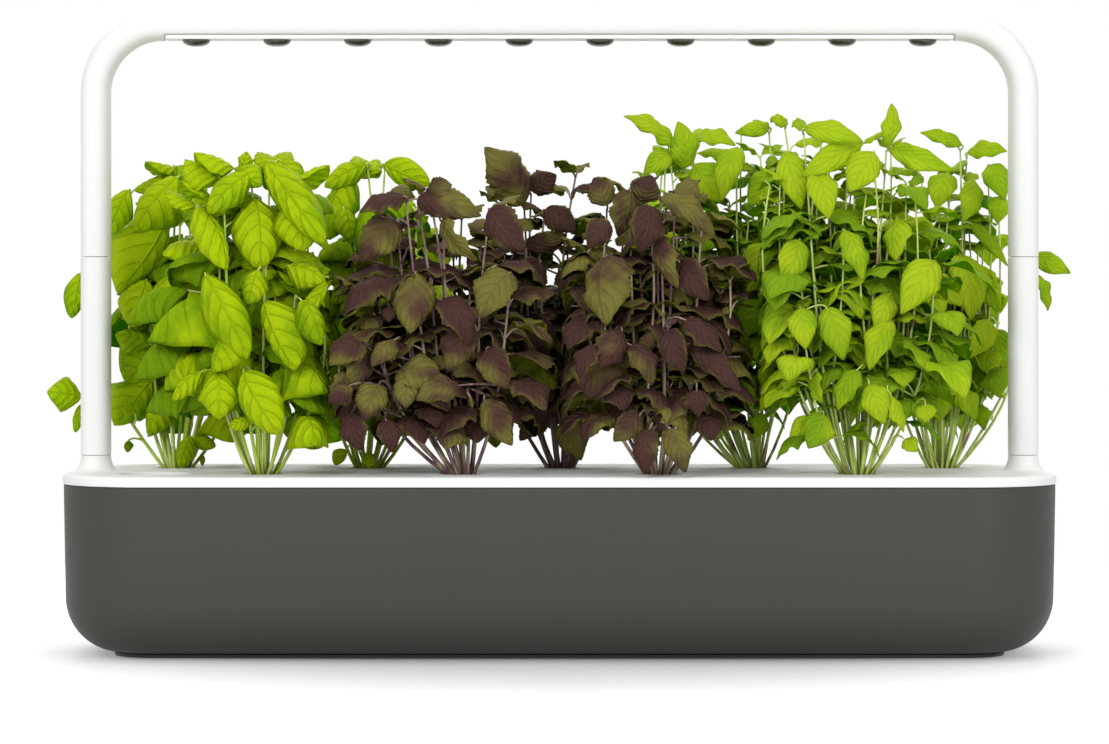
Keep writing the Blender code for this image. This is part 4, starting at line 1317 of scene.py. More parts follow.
@dataclass
class Pods:
    """The nine lidded cups with their growing medium."""

    places: list[Pair]
    top: float = 0.1135
    flange: float = 0.03525
    flange_thickness: float = 0.0015
    hole: float = 0.013
    cup_top: float = 0.0296
    cup_bottom: float = 0.0245
    depth: float = 0.0505
    wall: float = 0.0012
    wick: float = 0.005
    soil_top: float = 0.1105
    hole_drop: float = 0.0004
    hole_bevel: float = 0.0022
    groove: float = 0.0003
    groove_places: tuple[float, ...] = (0.0068, 0.0064, 0.0056, 0.0052)
    ease: float = 0.0003
    ease_steps: int = 2
    steps: int = 96
    crust_edge: float = 0.0008
    crust_waves: int = 3
    crust_waves_x: Pair = (500, 1400)
    crust_waves_y: Pair = (-1200, 1200)
    crust_phase: Pair = (0, 6)
    crust_fade: int = 4
    crust_rings: int = 12
    crust_around: int = 48
    crust_rise: float = 0.0003
    crust_wave: float = 0.00016
    crust_crumb: float = 0.0002
    crust_sharp: float = 70.0

    def cup(self, number: int) -> Object:
        """Turns a cup: a lid with a shallow groove and an eased hole, a tapered wall and a floor.

        Args:
            number: which pod, from 1.

        Returns:
            The cup.
        """
        under = self.top - self.flange_thickness
        low = under - self.depth
        start, inner, outer, end = (self.flange - place for place in self.groove_places)
        outline = [
            (self.hole, self.top - self.hole_drop),
            (self.hole + self.hole_bevel, self.top),
            (start, self.top),
            (inner, self.top - self.groove),
            (outer, self.top - self.groove),
            (end, self.top),
            (self.flange, self.top),
            (self.flange, under),
            (self.cup_top, under),
            (self.cup_bottom, low),
            (self.wick, low),
            (self.wick, low + self.wall),
            (self.cup_bottom - self.wall, low + self.wall),
            (self.cup_top - self.wall, self.top - self.wall),
            (self.hole, self.top - self.wall),
        ]
        profile = rounded(outline, self.ease, self.ease_steps)
        return turned(f"cup_{number}", profile, self.places[number - 1], self.steps)

    def crust(self, number: int) -> Object:
        """Makes the crumbly top of the medium that shows in the lid's hole.

        Height is the soil's top plus crossed waves of a few millimetres and random crumbs,
        all fading to nothing at the rim.

        Args:
            number: which pod, from 1.

        Returns:
            The crust, a closed disc.
        """
        dice = np.random.default_rng(SEED + number)
        radius = np.linspace(0, self.hole - self.crust_edge, self.crust_rings)[:, None]
        turn = np.linspace(0, 2 * pi, self.crust_around, endpoint=False)[None]
        x, y = radius * np.cos(turn), radius * np.sin(turn)
        waves = 0
        for _ in range(self.crust_waves):
            phase = x * dice.uniform(*self.crust_waves_x) + y * dice.uniform(*self.crust_waves_y)
            waves = waves + np.sin(phase + dice.uniform(*self.crust_phase))
        fade = 1 - (radius / radius.max()) ** self.crust_fade
        crumbs = dice.normal(0, self.crust_crumb, x.shape)
        crumbs[0] = 0
        rise = self.crust_rise + waves * self.crust_wave + crumbs
        height = self.soil_top + GAP + rise * fade
        height[0] = height[0].mean()
        at = self.places[number - 1]
        upper = np.stack([x + at[0], y + at[1], height], axis=-1)
        under = upper[:1].copy()
        under[..., 2] = self.soil_top + GAP / 2
        return skin(f"crust_{number}", np.concatenate([under, upper]), sharp=self.crust_sharp)

    def build(self) -> None:
        """Builds and dresses the cups, and dresses the medium in them."""
        white = Finish.POD.value.material()
        medium = Finish.SOIL.value.material()
        for number in range(1, len(self.places) + 1):
            dressed(self.cup(number), white, f"pod_{number}", f"pod_cup_{number}")
            dressed(self.crust(number), medium, f"pod_{number}")
        LOG.info("pods: %d cups", len(self.places))


# Plants


@dataclass(frozen=True)
class Blade:
    """How a herb's leaf blade is shaped. Lengths are in metres, and shares are of its size."""

    length: float
    width_share: float
    widest: float
    fullness: float
    taper: float
    cup: float
    fold: float
    puff: float
    side_veins: float
    slant: float
    wave: float
    teeth: float = 0.0
    tooth_share: float = 0.0
    taper_power: int = 6
    least_share: float = 0.02
    vein_bend: float = 1.5
    puff_power: int = 3
    puff_scale: float = 1.6
    waves: float = 2.2
    wave_step: float = 0.37
    wave_lag: float = 1.1
    fold_spread: float = 0.5
    fold_step: float = 2.4
    cup_spread: float = 0.4
    cup_step: float = 1.7
    drawn_in: float = 0.12


@dataclass(frozen=True)
class Growth:
    """How a herb's stems and leaf pairs grow."""

    stems: int
    stem_radius: float
    node_gap: float
    petiole: float
    droop: float
    lowest: float
    # Stems: heights as shares of the plant's, drop at its sides, fanning and sway
    tall: Pair = (0.62, 1.0)
    sides_drop: float = 0.22
    flare: Pair = (2.0, 3.6)
    sway: Pair = (0.0035, 0.002)
    taper: Pair = (1.15, 0.6)
    # Nodes: random shift, lowest place, random turn and turn from stem to stem
    node_shift: float = 0.012
    node_low: float = 0.05
    node_turn: float = 0.35
    stem_turn: float = 1.9
    # Young pairs at a stem's head: how many, how much smaller and so on
    young_pairs: float = 2.5
    young_small: float = 0.62
    young_short: float = 0.7
    young_firm: float = 0.75
    young_rise: float = 0.9
    young_tone: float = 0.2
    # Low pairs: their size, and how fast leaves reach full size up the stem
    low_size: float = 0.72
    low_rate: float = 4.0
    # A leaf: its size, rise above level, droop and width
    size: Pair = (0.78, 1.12)
    rise: float = 0.35
    arch: float = 0.6
    droop_spread: Pair = (0.6, 1.25)
    tip_drop: float = 1.5
    tip_turn: float = 0.6
    most_turn: float = 1.4
    first_part: float = 0.48
    roll: float = 0.22
    tone: Pair = (0.6, 0.18)
    # How much darker a leaf is drawn deep inside its plant: painted shade, with some of the darker
    # green of older leaves
    depth_shade_and_age: float = 0.3
    width: Pair = (0.85, 1.12)
    # Leaf stalks: thickness at the root and its loss, as shares of the stem's
    stalk: Pair = (0.72, 0.2)


class Draw(Enum):
    """What random numbers are drawn for. Each use has a series of its own."""

    SEEN = 100
    STEMS = 200
    PAIRS = 300


class Herb(Enum):
    """The garden's three herbs, each with its blade, growth, leaf finish and stem finish."""

    # Sweet basil: broad, spoon-shaped leaves that puff up between their veins
    SWEET = (
        Blade(
            length=0.066, width_share=0.78, widest=0.46, fullness=0.48, taper=0.08, cup=1.0,
            fold=0.12, puff=0.075, side_veins=4.5, slant=0.42, wave=0.020,
        ),
        Growth(stems=16, stem_radius=0.0011, node_gap=0.028, petiole=0.014, droop=1.7, lowest=0.26),
        LeafSkin(
            name="sweet_basil_leaf", shade="#386c00", light="#8eb600", patch="#aac606",
            vein="#a6c41a", patch_share=0.30, vein_share=0.10, side_veins=4.5, vein_slant=0.42,
            roughness=0.40, coat=0.02, quilt=0.0018, through=0.22, specular=0.03, rim_share=0.0,
        ),
        StemSkin(name="sweet_basil_stem", colour="#b6d044", tint="#d0dc84", tint_share=0.4),
    )
    # Purple basil: dark toothed leaves that turn olive green in places
    PURPLE = (
        Blade(
            length=0.052, width_share=0.70, widest=0.42, fullness=0.66, taper=0.20, cup=0.50,
            fold=0.26, puff=0.040, side_veins=5.5, slant=0.46, wave=0.070, teeth=11.0,
            tooth_share=0.08,
        ),
        Growth(
            stems=17, stem_radius=0.0011, node_gap=0.018, petiole=0.012, droop=1.45, lowest=0.22,
        ),
        LeafSkin(
            name="purple_basil_leaf", shade="#060001", light="#291811", patch="#727a1e",
            vein="#7a5650", patch_share=0.35, vein_share=0.20, side_veins=5.5, vein_slant=0.46,
            roughness=0.46, coat=0.02, quilt=0.0008, through=0.03, specular=0.04, rim_share=0.50,
        ),
        StemSkin(name="purple_basil_stem", colour="#a3917a", tint="#74505a", tint_share=0.5),
    )
    # Lemon basil: light, matt, pointed leaves
    LEMON = (
        Blade(
            length=0.048, width_share=0.62, widest=0.42, fullness=0.74, taper=0.22, cup=0.42,
            fold=0.26, puff=0.026, side_veins=5.5, slant=0.50, wave=0.060, teeth=8.0,
            tooth_share=0.02,
        ),
        Growth(stems=27, stem_radius=0.0009, node_gap=0.017, petiole=0.010, droop=1.4, lowest=0.24),
        LeafSkin(
            name="lemon_basil_leaf", shade="#4e8000", light="#88ae04", patch="#a2be10",
            vein="#a8c032", patch_share=0.32, vein_share=0.14, side_veins=5.5, vein_slant=0.50,
            roughness=0.48, coat=0.02, quilt=0.0006, through=0.22, specular=0.03, rim_share=0.0,
        ),
        StemSkin(name="lemon_basil_stem", colour="#c6da70", tint="#9c7a62", tint_share=0.25),
    )


@dataclass(frozen=True)
class Photo:
    """The photograph's camera: level, square to the object, with its picture shifted."""

    distance: float = 2.4
    eye: float = 0.226
    focal: float = 3810.0
    middle_u: float = 559.6
    horizon_v: float = 291.7
    width: int = 1109
    height: int = 744
    sensor: float = 36.0

    def place(self, u: Array, v: Array, y: Array) -> Array:
        """Finds the point at depth y that the picture shows at a pixel.

        X is (u - middle) (distance + y) / focal, and Z is the eye's height minus
        (v - horizon) (distance + y) / focal.

        Args:
            u: pixels from the picture's left.
            v: pixels from its top.
            y: depths in metres.

        Returns:
            An array of points by three.
        """
        scale = (self.distance + y) / self.focal
        x = (u - self.middle_u) * scale
        return np.stack([x, y, self.eye - (v - self.horizon_v) * scale], axis=-1)


@dataclass(frozen=True)
class Seen:
    """A leaf read in the photograph, in its pixels: where its base and its tip are, and how
    wide it is. The tone says how light it is, from 0 to 1."""

    base_u: int
    base_v: int
    tip_u: int
    tip_v: int
    width: int
    tone: float


# The leaves that can be told apart in the photograph, by pod
SEEN = {
    1: (
        Seen(177, 177, 135, 231, 50, 0.8), Seen(128, 190, 108, 237, 30, 0.7),
        Seen(176, 166, 206, 201, 28, 0.6), Seen(182, 175, 199, 235, 28, 0.25),
        Seen(166, 213, 119, 292, 56, 0.85), Seen(145, 280, 133, 327, 40, 0.7),
        Seen(175, 273, 180, 351, 60, 0.75), Seen(80, 273, 72, 318, 22, 0.6),
        Seen(150, 345, 116, 335, 30, 0.6), Seen(160, 350, 125, 380, 50, 0.55),
        Seen(80, 398, 48, 392, 33, 0.7), Seen(80, 405, 76, 432, 10, 0.7),
        Seen(150, 380, 115, 425, 50, 0.6), Seen(134, 413, 122, 405, 12, 0.95),
        Seen(128, 441, 128, 452, 10, 0.3), Seen(190, 445, 180, 476, 21, 0.7),
        Seen(190, 441, 216, 446, 14, 0.8), Seen(202, 460, 202, 471, 8, 0.7),
        Seen(192, 330, 205, 385, 34, 0.5), Seen(165, 395, 150, 436, 30, 0.6),
    ),
    2: (
        Seen(204, 275, 249, 358, 45, 0.7), Seen(197, 206, 228, 270, 31, 0.75),
        Seen(254, 199, 261, 270, 47, 0.85), Seen(249, 173, 209, 213, 31, 0.7),
        Seen(243, 172, 247, 152, 16, 0.8), Seen(268, 161, 330, 244, 36, 0.75),
        Seen(292, 202, 304, 251, 43, 0.8), Seen(287, 266, 326, 283, 31, 0.7),
        Seen(263, 301, 296, 370, 45, 0.65), Seen(330, 283, 296, 332, 15, 0.6),
        Seen(258, 270, 249, 304, 25, 0.4), Seen(218, 372, 220, 419, 45, 0.85),
        Seen(202, 372, 173, 400, 18, 0.7), Seen(242, 372, 280, 434, 40, 0.6),
        Seen(250, 420, 230, 427, 14, 0.95), Seen(300, 300, 322, 345, 34, 0.45),
        Seen(236, 168, 262, 186, 24, 0.6), Seen(280, 160, 300, 190, 26, 0.7),
        Seen(232, 330, 214, 372, 36, 0.6),
    ),
    3: (
        Seen(335, 285, 350, 300, 28, 0.7), Seen(367, 164, 325, 187, 25, 0.75),
        Seen(384, 164, 430, 185, 26, 0.8), Seen(343, 208, 350, 240, 25, 0.6),
        Seen(396, 225, 388, 258, 15, 0.5), Seen(346, 450, 335, 465, 14, 0.95),
        Seen(365, 455, 372, 468, 14, 0.7), Seen(352, 176, 330, 240, 34, 0.6),
        Seen(372, 200, 366, 262, 34, 0.55), Seen(334, 312, 318, 362, 32, 0.55),
        Seen(352, 330, 372, 384, 36, 0.35), Seen(330, 380, 344, 432, 34, 0.4),
        Seen(372, 390, 354, 440, 30, 0.3),
    ),
    4: (
        Seen(405, 197, 360, 213, 30, 0.35), Seen(417, 199, 481, 216, 31, 0.45),
        Seen(396, 220, 360, 262, 35, 0.4), Seen(443, 218, 478, 260, 26, 0.8),
        Seen(415, 273, 411, 333, 43, 0.8), Seen(489, 209, 524, 251, 36, 0.35),
        Seen(510, 273, 481, 318, 38, 0.75), Seen(389, 305, 389, 322, 15, 0.5),
        Seen(406, 377, 406, 408, 24, 0.4), Seen(398, 372, 441, 386, 40, 0.5),
        Seen(460, 386, 417, 400, 30, 0.45), Seen(470, 398, 472, 408, 10, 0.9),
        Seen(484, 400, 512, 445, 30, 0.5), Seen(352, 345, 318, 365, 30, 0.45),
        Seen(362, 352, 348, 392, 26, 0.3), Seen(345, 388, 322, 402, 24, 0.35),
        Seen(378, 385, 364, 420, 30, 0.5), Seen(352, 412, 362, 450, 28, 0.3),
        Seen(338, 372, 330, 410, 22, 0.25), Seen(385, 420, 392, 452, 24, 0.35),
        Seen(428, 188, 452, 184, 18, 0.5), Seen(440, 300, 470, 345, 34, 0.3),
        Seen(470, 325, 448, 372, 34, 0.35), Seen(395, 340, 372, 366, 26, 0.3),
        Seen(486, 350, 508, 388, 30, 0.4),
    ),
    5: (
        Seen(524, 204, 485, 148, 45, 0.6), Seen(531, 190, 556, 175, 25, 0.15),
        Seen(526, 249, 567, 235, 18, 0.5), Seen(598, 306, 563, 305, 12, 0.8),
        Seen(557, 379, 515, 400, 33, 0.45), Seen(567, 417, 581, 460, 31, 0.7),
        Seen(540, 262, 512, 300, 32, 0.3), Seen(560, 270, 585, 310, 30, 0.3),
        Seen(548, 320, 528, 362, 32, 0.3), Seen(575, 340, 590, 380, 30, 0.35),
        Seen(543, 405, 520, 440, 28, 0.4), Seen(545, 210, 575, 232, 26, 0.3),
    ),
    6: (
        Seen(607, 256, 607, 325, 58, 0.55), Seen(607, 205, 594, 178, 26, 0.4),
        Seen(640, 200, 652, 176, 28, 0.4), Seen(662, 197, 714, 237, 24, 0.45),
        Seen(659, 235, 678, 288, 26, 0.6), Seen(607, 220, 588, 248, 25, 0.4),
        Seen(612, 362, 604, 330, 15, 0.95), Seen(645, 352, 650, 332, 15, 0.6),
        Seen(650, 429, 645, 474, 26, 0.5), Seen(640, 415, 614, 441, 24, 0.45),
        Seen(669, 429, 685, 472, 26, 0.5), Seen(697, 390, 697, 415, 24, 0.2),
        Seen(630, 190, 618, 236, 34, 0.4), Seen(648, 205, 640, 252, 34, 0.35),
        Seen(676, 190, 700, 196, 26, 0.4), Seen(622, 330, 600, 368, 34, 0.35),
        Seen(630, 345, 652, 385, 30, 0.5), Seen(680, 262, 708, 300, 30, 0.3),
        Seen(684, 320, 722, 352, 28, 0.3), Seen(690, 345, 740, 392, 24, 0.4),
        Seen(596, 345, 580, 378, 26, 0.3), Seen(668, 330, 684, 372, 26, 0.3),
    ),
    7: (
        Seen(668, 145, 616, 116, 24, 0.8), Seen(685, 168, 678, 122, 28, 0.7),
        Seen(695, 138, 735, 146, 21, 0.8), Seen(671, 154, 644, 174, 21, 0.7),
        Seen(695, 164, 719, 202, 36, 0.75), Seen(738, 147, 721, 202, 26, 0.7),
        Seen(702, 266, 683, 277, 26, 0.7), Seen(770, 128, 735, 133, 14, 0.75),
        Seen(786, 123, 770, 118, 14, 0.9), Seen(779, 175, 748, 206, 31, 0.75),
        Seen(777, 242, 744, 294, 36, 0.8), Seen(786, 222, 789, 273, 33, 0.7),
        Seen(784, 386, 767, 417, 24, 0.6), Seen(745, 330, 716, 352, 30, 0.5),
        Seen(742, 300, 712, 300, 28, 0.5), Seen(735, 400, 706, 430, 30, 0.35),
        Seen(748, 340, 770, 376, 28, 0.5), Seen(722, 225, 700, 252, 28, 0.4),
        Seen(760, 300, 742, 338, 28, 0.45), Seen(730, 370, 752, 408, 28, 0.45),
        Seen(765, 415, 748, 440, 20, 0.6),
    ),
    8: (
        Seen(805, 129, 862, 142, 21, 0.85), Seen(862, 142, 801, 177, 26, 0.95),
        Seen(786, 152, 801, 209, 26, 0.75), Seen(817, 171, 828, 219, 28, 0.75),
        Seen(888, 146, 891, 104, 19, 1), Seen(874, 152, 849, 192, 31, 0.9),
        Seen(893, 147, 952, 170, 21, 0.8), Seen(898, 218, 895, 261, 31, 0.75),
        Seen(936, 261, 900, 314, 36, 0.9), Seen(891, 320, 869, 370, 26, 0.75),
        Seen(801, 308, 805, 349, 26, 0.65), Seen(827, 308, 843, 360, 31, 0.7),
        Seen(891, 294, 874, 330, 24, 0.7), Seen(817, 372, 822, 403, 26, 0.7),
        Seen(824, 415, 808, 448, 30, 0.3), Seen(891, 396, 903, 432, 24, 0.7),
        Seen(926, 405, 926, 422, 20, 0.7), Seen(905, 440, 916, 452, 16, 0.8),
        Seen(845, 230, 862, 280, 28, 0.6), Seen(858, 370, 838, 410, 28, 0.6),
        Seen(870, 385, 884, 424, 26, 0.65), Seen(800, 240, 782, 286, 28, 0.6),
        Seen(812, 420, 790, 436, 18, 0.75),
    ),
    9: (
        Seen(962, 145, 920, 133, 14, 0.7), Seen(969, 152, 1006, 152, 19, 0.8),
        Seen(948, 173, 936, 209, 26, 0.7), Seen(1000, 197, 997, 223, 21, 0.7),
        Seen(929, 218, 914, 258, 26, 0.7), Seen(933, 277, 960, 306, 26, 0.6),
        Seen(962, 256, 969, 320, 35, 0.7), Seen(971, 223, 1007, 266, 12, 0.6),
        Seen(1037, 256, 1072, 273, 19, 0.6), Seen(1038, 275, 1047, 311, 15, 0.6),
        Seen(990, 320, 969, 358, 24, 0.65), Seen(993, 350, 985, 372, 25, 0.6),
        Seen(981, 405, 984, 430, 15, 0.6), Seen(990, 165, 1004, 200, 24, 0.7),
        Seen(985, 270, 1000, 312, 26, 0.6), Seen(950, 340, 936, 380, 26, 0.5),
        Seen(955, 390, 975, 420, 24, 0.55), Seen(1000, 330, 1006, 372, 22, 0.5),
        Seen(975, 180, 962, 222, 26, 0.65),
    ),
}


@dataclass(frozen=True)
class Cell:
    """The room that a plant's leaves keep to, so that each pod can be lifted out alone."""

    low: Triple
    high: Triple


@dataclass
class Leaves:
    """A set of leaves as arrays: base, control and tip points, the across direction and sizes."""

    base: Array
    middle: Array
    tip: Array
    across: Array
    width: Array
    tone: Array

    def taken(self, chosen: Array) -> "Leaves":
        """Picks some of the leaves.

        Args:
            chosen: indices or a mask.

        Returns:
            The picked leaves.
        """
        parts = (self.base, self.middle, self.tip, self.across, self.width, self.tone)
        return Leaves(*(part[chosen] for part in parts))

    def and_those(self, other: "Leaves") -> "Leaves":
        """Adds another set.

        Args:
            other: the other leaves.

        Returns:
            Both sets in one.
        """
        mine = (self.base, self.middle, self.tip, self.across, self.width, self.tone)
        others = (other.base, other.middle, other.tip, other.across, other.width, other.tone)
        return Leaves(*(np.concatenate(pair) for pair in zip(mine, others)))


def unit(vectors: Array) -> Array:
    """Scales vectors to length 1.

    Args:
        vectors: an array whose last axis holds the vectors.

    Returns:
        The unit vectors.
    """
    return vectors / np.maximum(np.linalg.norm(vectors, axis=-1, keepdims=True), TINY)


def curve(base: Array, middle: Array, tip: Array, t: Array) -> Array:
    """Gives points on bent lines: (1-t)^2 base + 2t(1-t) middle + t^2 tip.

    Args:
        base: starts, an array of lines by three.
        middle: control points, likewise.
        tip: ends, likewise.
        t: shares of the way.

    Returns:
        An array of lines by shares by three.
    """
    t = t[None, :, None]
    return (1 - t) ** 2 * base[:, None] + 2 * t * (1 - t) * middle[:, None] + t**2 * tip[:, None]


def tubes(paths: Array, radii: Array, sides: int) -> tuple[Array, list]:
    """Carries a round section along several lines at once and closes the ends.

    Each ring's two directions are square to the line: one is the line's direction crossed with
    a fixed direction, the other is that one crossed with the line's direction.

    Args:
        paths: an array of lines by points by three.
        radii: an array of lines by points.
        sides: how many sides the section has.

    Returns:
        Points, and faces as lists of corner numbers.
    """
    count, steps = paths.shape[:2]
    ahead = unit(np.gradient(paths, axis=1))
    first = unit(np.cross(ahead, np.array(ASLANT)))
    second = np.cross(first, ahead)
    turn = np.linspace(0, 2 * pi, sides, endpoint=False)
    ring = first[:, :, None] * np.cos(turn)[:, None] + second[:, :, None] * np.sin(turn)[:, None]
    points = paths[:, :, None] + ring * radii[:, :, None, None]
    faces = grid_faces(steps, sides, closed=True, grids=count).tolist()
    starts = np.arange(count)[:, None] * steps * sides
    ends = np.arange(sides)[None]
    faces += (starts + ends)[:, ::-1].tolist()
    faces += (starts + (steps - 1) * sides + ends).tolist()
    return points.reshape(-1, 3), faces


def blades(
    leaves: Leaves, shape: Blade, rows: int = 25, columns: int = 9
) -> tuple[Array, Array]:
    """Works out the blade surface of every leaf as one array.

    Along the leaf, u goes from 0 to 1, and across it s goes from -1 to 1. Half the width is
    W/2 * sin(pi u^p)^q * (1 - taper u^6), and p puts the widest place where it belongs. A point is
    the bent midline, plus across * s * half width, plus up * half width * (fold |s| - cup s^2),
    plus up * length * (puff between the side veins + wave along the rims). Teeth vary the half
    width by a saw of u.

    Args:
        leaves: the leaves.
        shape: the herb's blade.
        rows: points along a leaf.
        columns: points across it.

    Returns:
        Points as leaves by rows by columns by three, and (u, v) of each row and column.
    """
    u = np.linspace(0, 1, rows)
    s = np.linspace(-1, 1, columns)
    power = np.log(0.5) / np.log(shape.widest)
    outline = np.clip(np.sin(pi * u**power), 0, None) ** shape.fullness
    outline = outline * (1 - shape.taper * u**shape.taper_power)
    saw = (u * shape.teeth) % 1.0
    outline = np.maximum(outline * (1 + shape.tooth_share * (saw - 0.5) * 2), shape.least_share)
    midline = curve(leaves.base, leaves.middle, leaves.tip, u)
    ahead = unit(np.gradient(midline, axis=1))
    side = leaves.across[:, None]
    side = unit(side - (side * ahead).sum(-1, keepdims=True) * ahead)
    up = np.cross(ahead, side)
    half = leaves.width[:, None, None] / 2 * outline[None, :, None]
    off = np.abs(s)[None, None]
    chord = np.linalg.norm(leaves.tip - leaves.base, axis=1)[:, None, None]
    number = np.arange(len(leaves.width))[:, None, None]
    beat = shape.side_veins * (u[None, :, None] - shape.slant * off**shape.vein_bend)
    puff = np.abs(np.sin(pi * beat)) * off * (1 - off**shape.puff_power) * shape.puff_scale
    phase = u[None, :, None] * shape.waves + number * shape.wave_step
    wave = np.sin(2 * pi * phase + s * shape.wave_lag) * off**2
    fold = shape.fold * (1 + shape.fold_spread * np.sin(number * shape.fold_step))
    cup = shape.cup * (1 + shape.cup_spread * np.sin(number * shape.cup_step + 1))
    lift = half * (fold * off - cup * off**2)
    lift = lift + chord * (shape.puff * puff + shape.wave * wave) * outline[None, :, None]
    flat = half * s * (1 - shape.drawn_in * cup * off**2)
    points = midline[:, :, None] + side[:, :, None] * flat[..., None]
    points = points + up[:, :, None] * lift[..., None]
    grid = np.stack(np.meshgrid(u, s / 2 + 0.5, indexing="ij"), axis=-1)
    return points, grid


def kept_in(points: Array, cell: Cell, play: float = 0.999) -> Array:
    """Moves each leaf whole until it lies in a cell, and shrinks one that is too large for it.

    Args:
        points: leaves by rows by columns by three.
        cell: the room.
        play: the share of the room that a leaf may fill.

    Returns:
        The points, moved.
    """
    low, high = np.array(cell.low), np.array(cell.high)
    least, most = points.min(axis=(1, 2)), points.max(axis=(1, 2))
    shrink = np.minimum(1, (high - low) / np.maximum(most - least, TINY)).min(axis=1) * play
    centre = (least + most)[:, None, None] / 2
    points = centre + (points - centre) * np.minimum(1, shrink)[:, None, None, None]
    least, most = points.min(axis=(1, 2)), points.max(axis=(1, 2))
    move = np.maximum(0, low - least) + np.minimum(0, high - most)
    return points + move[:, None, None]


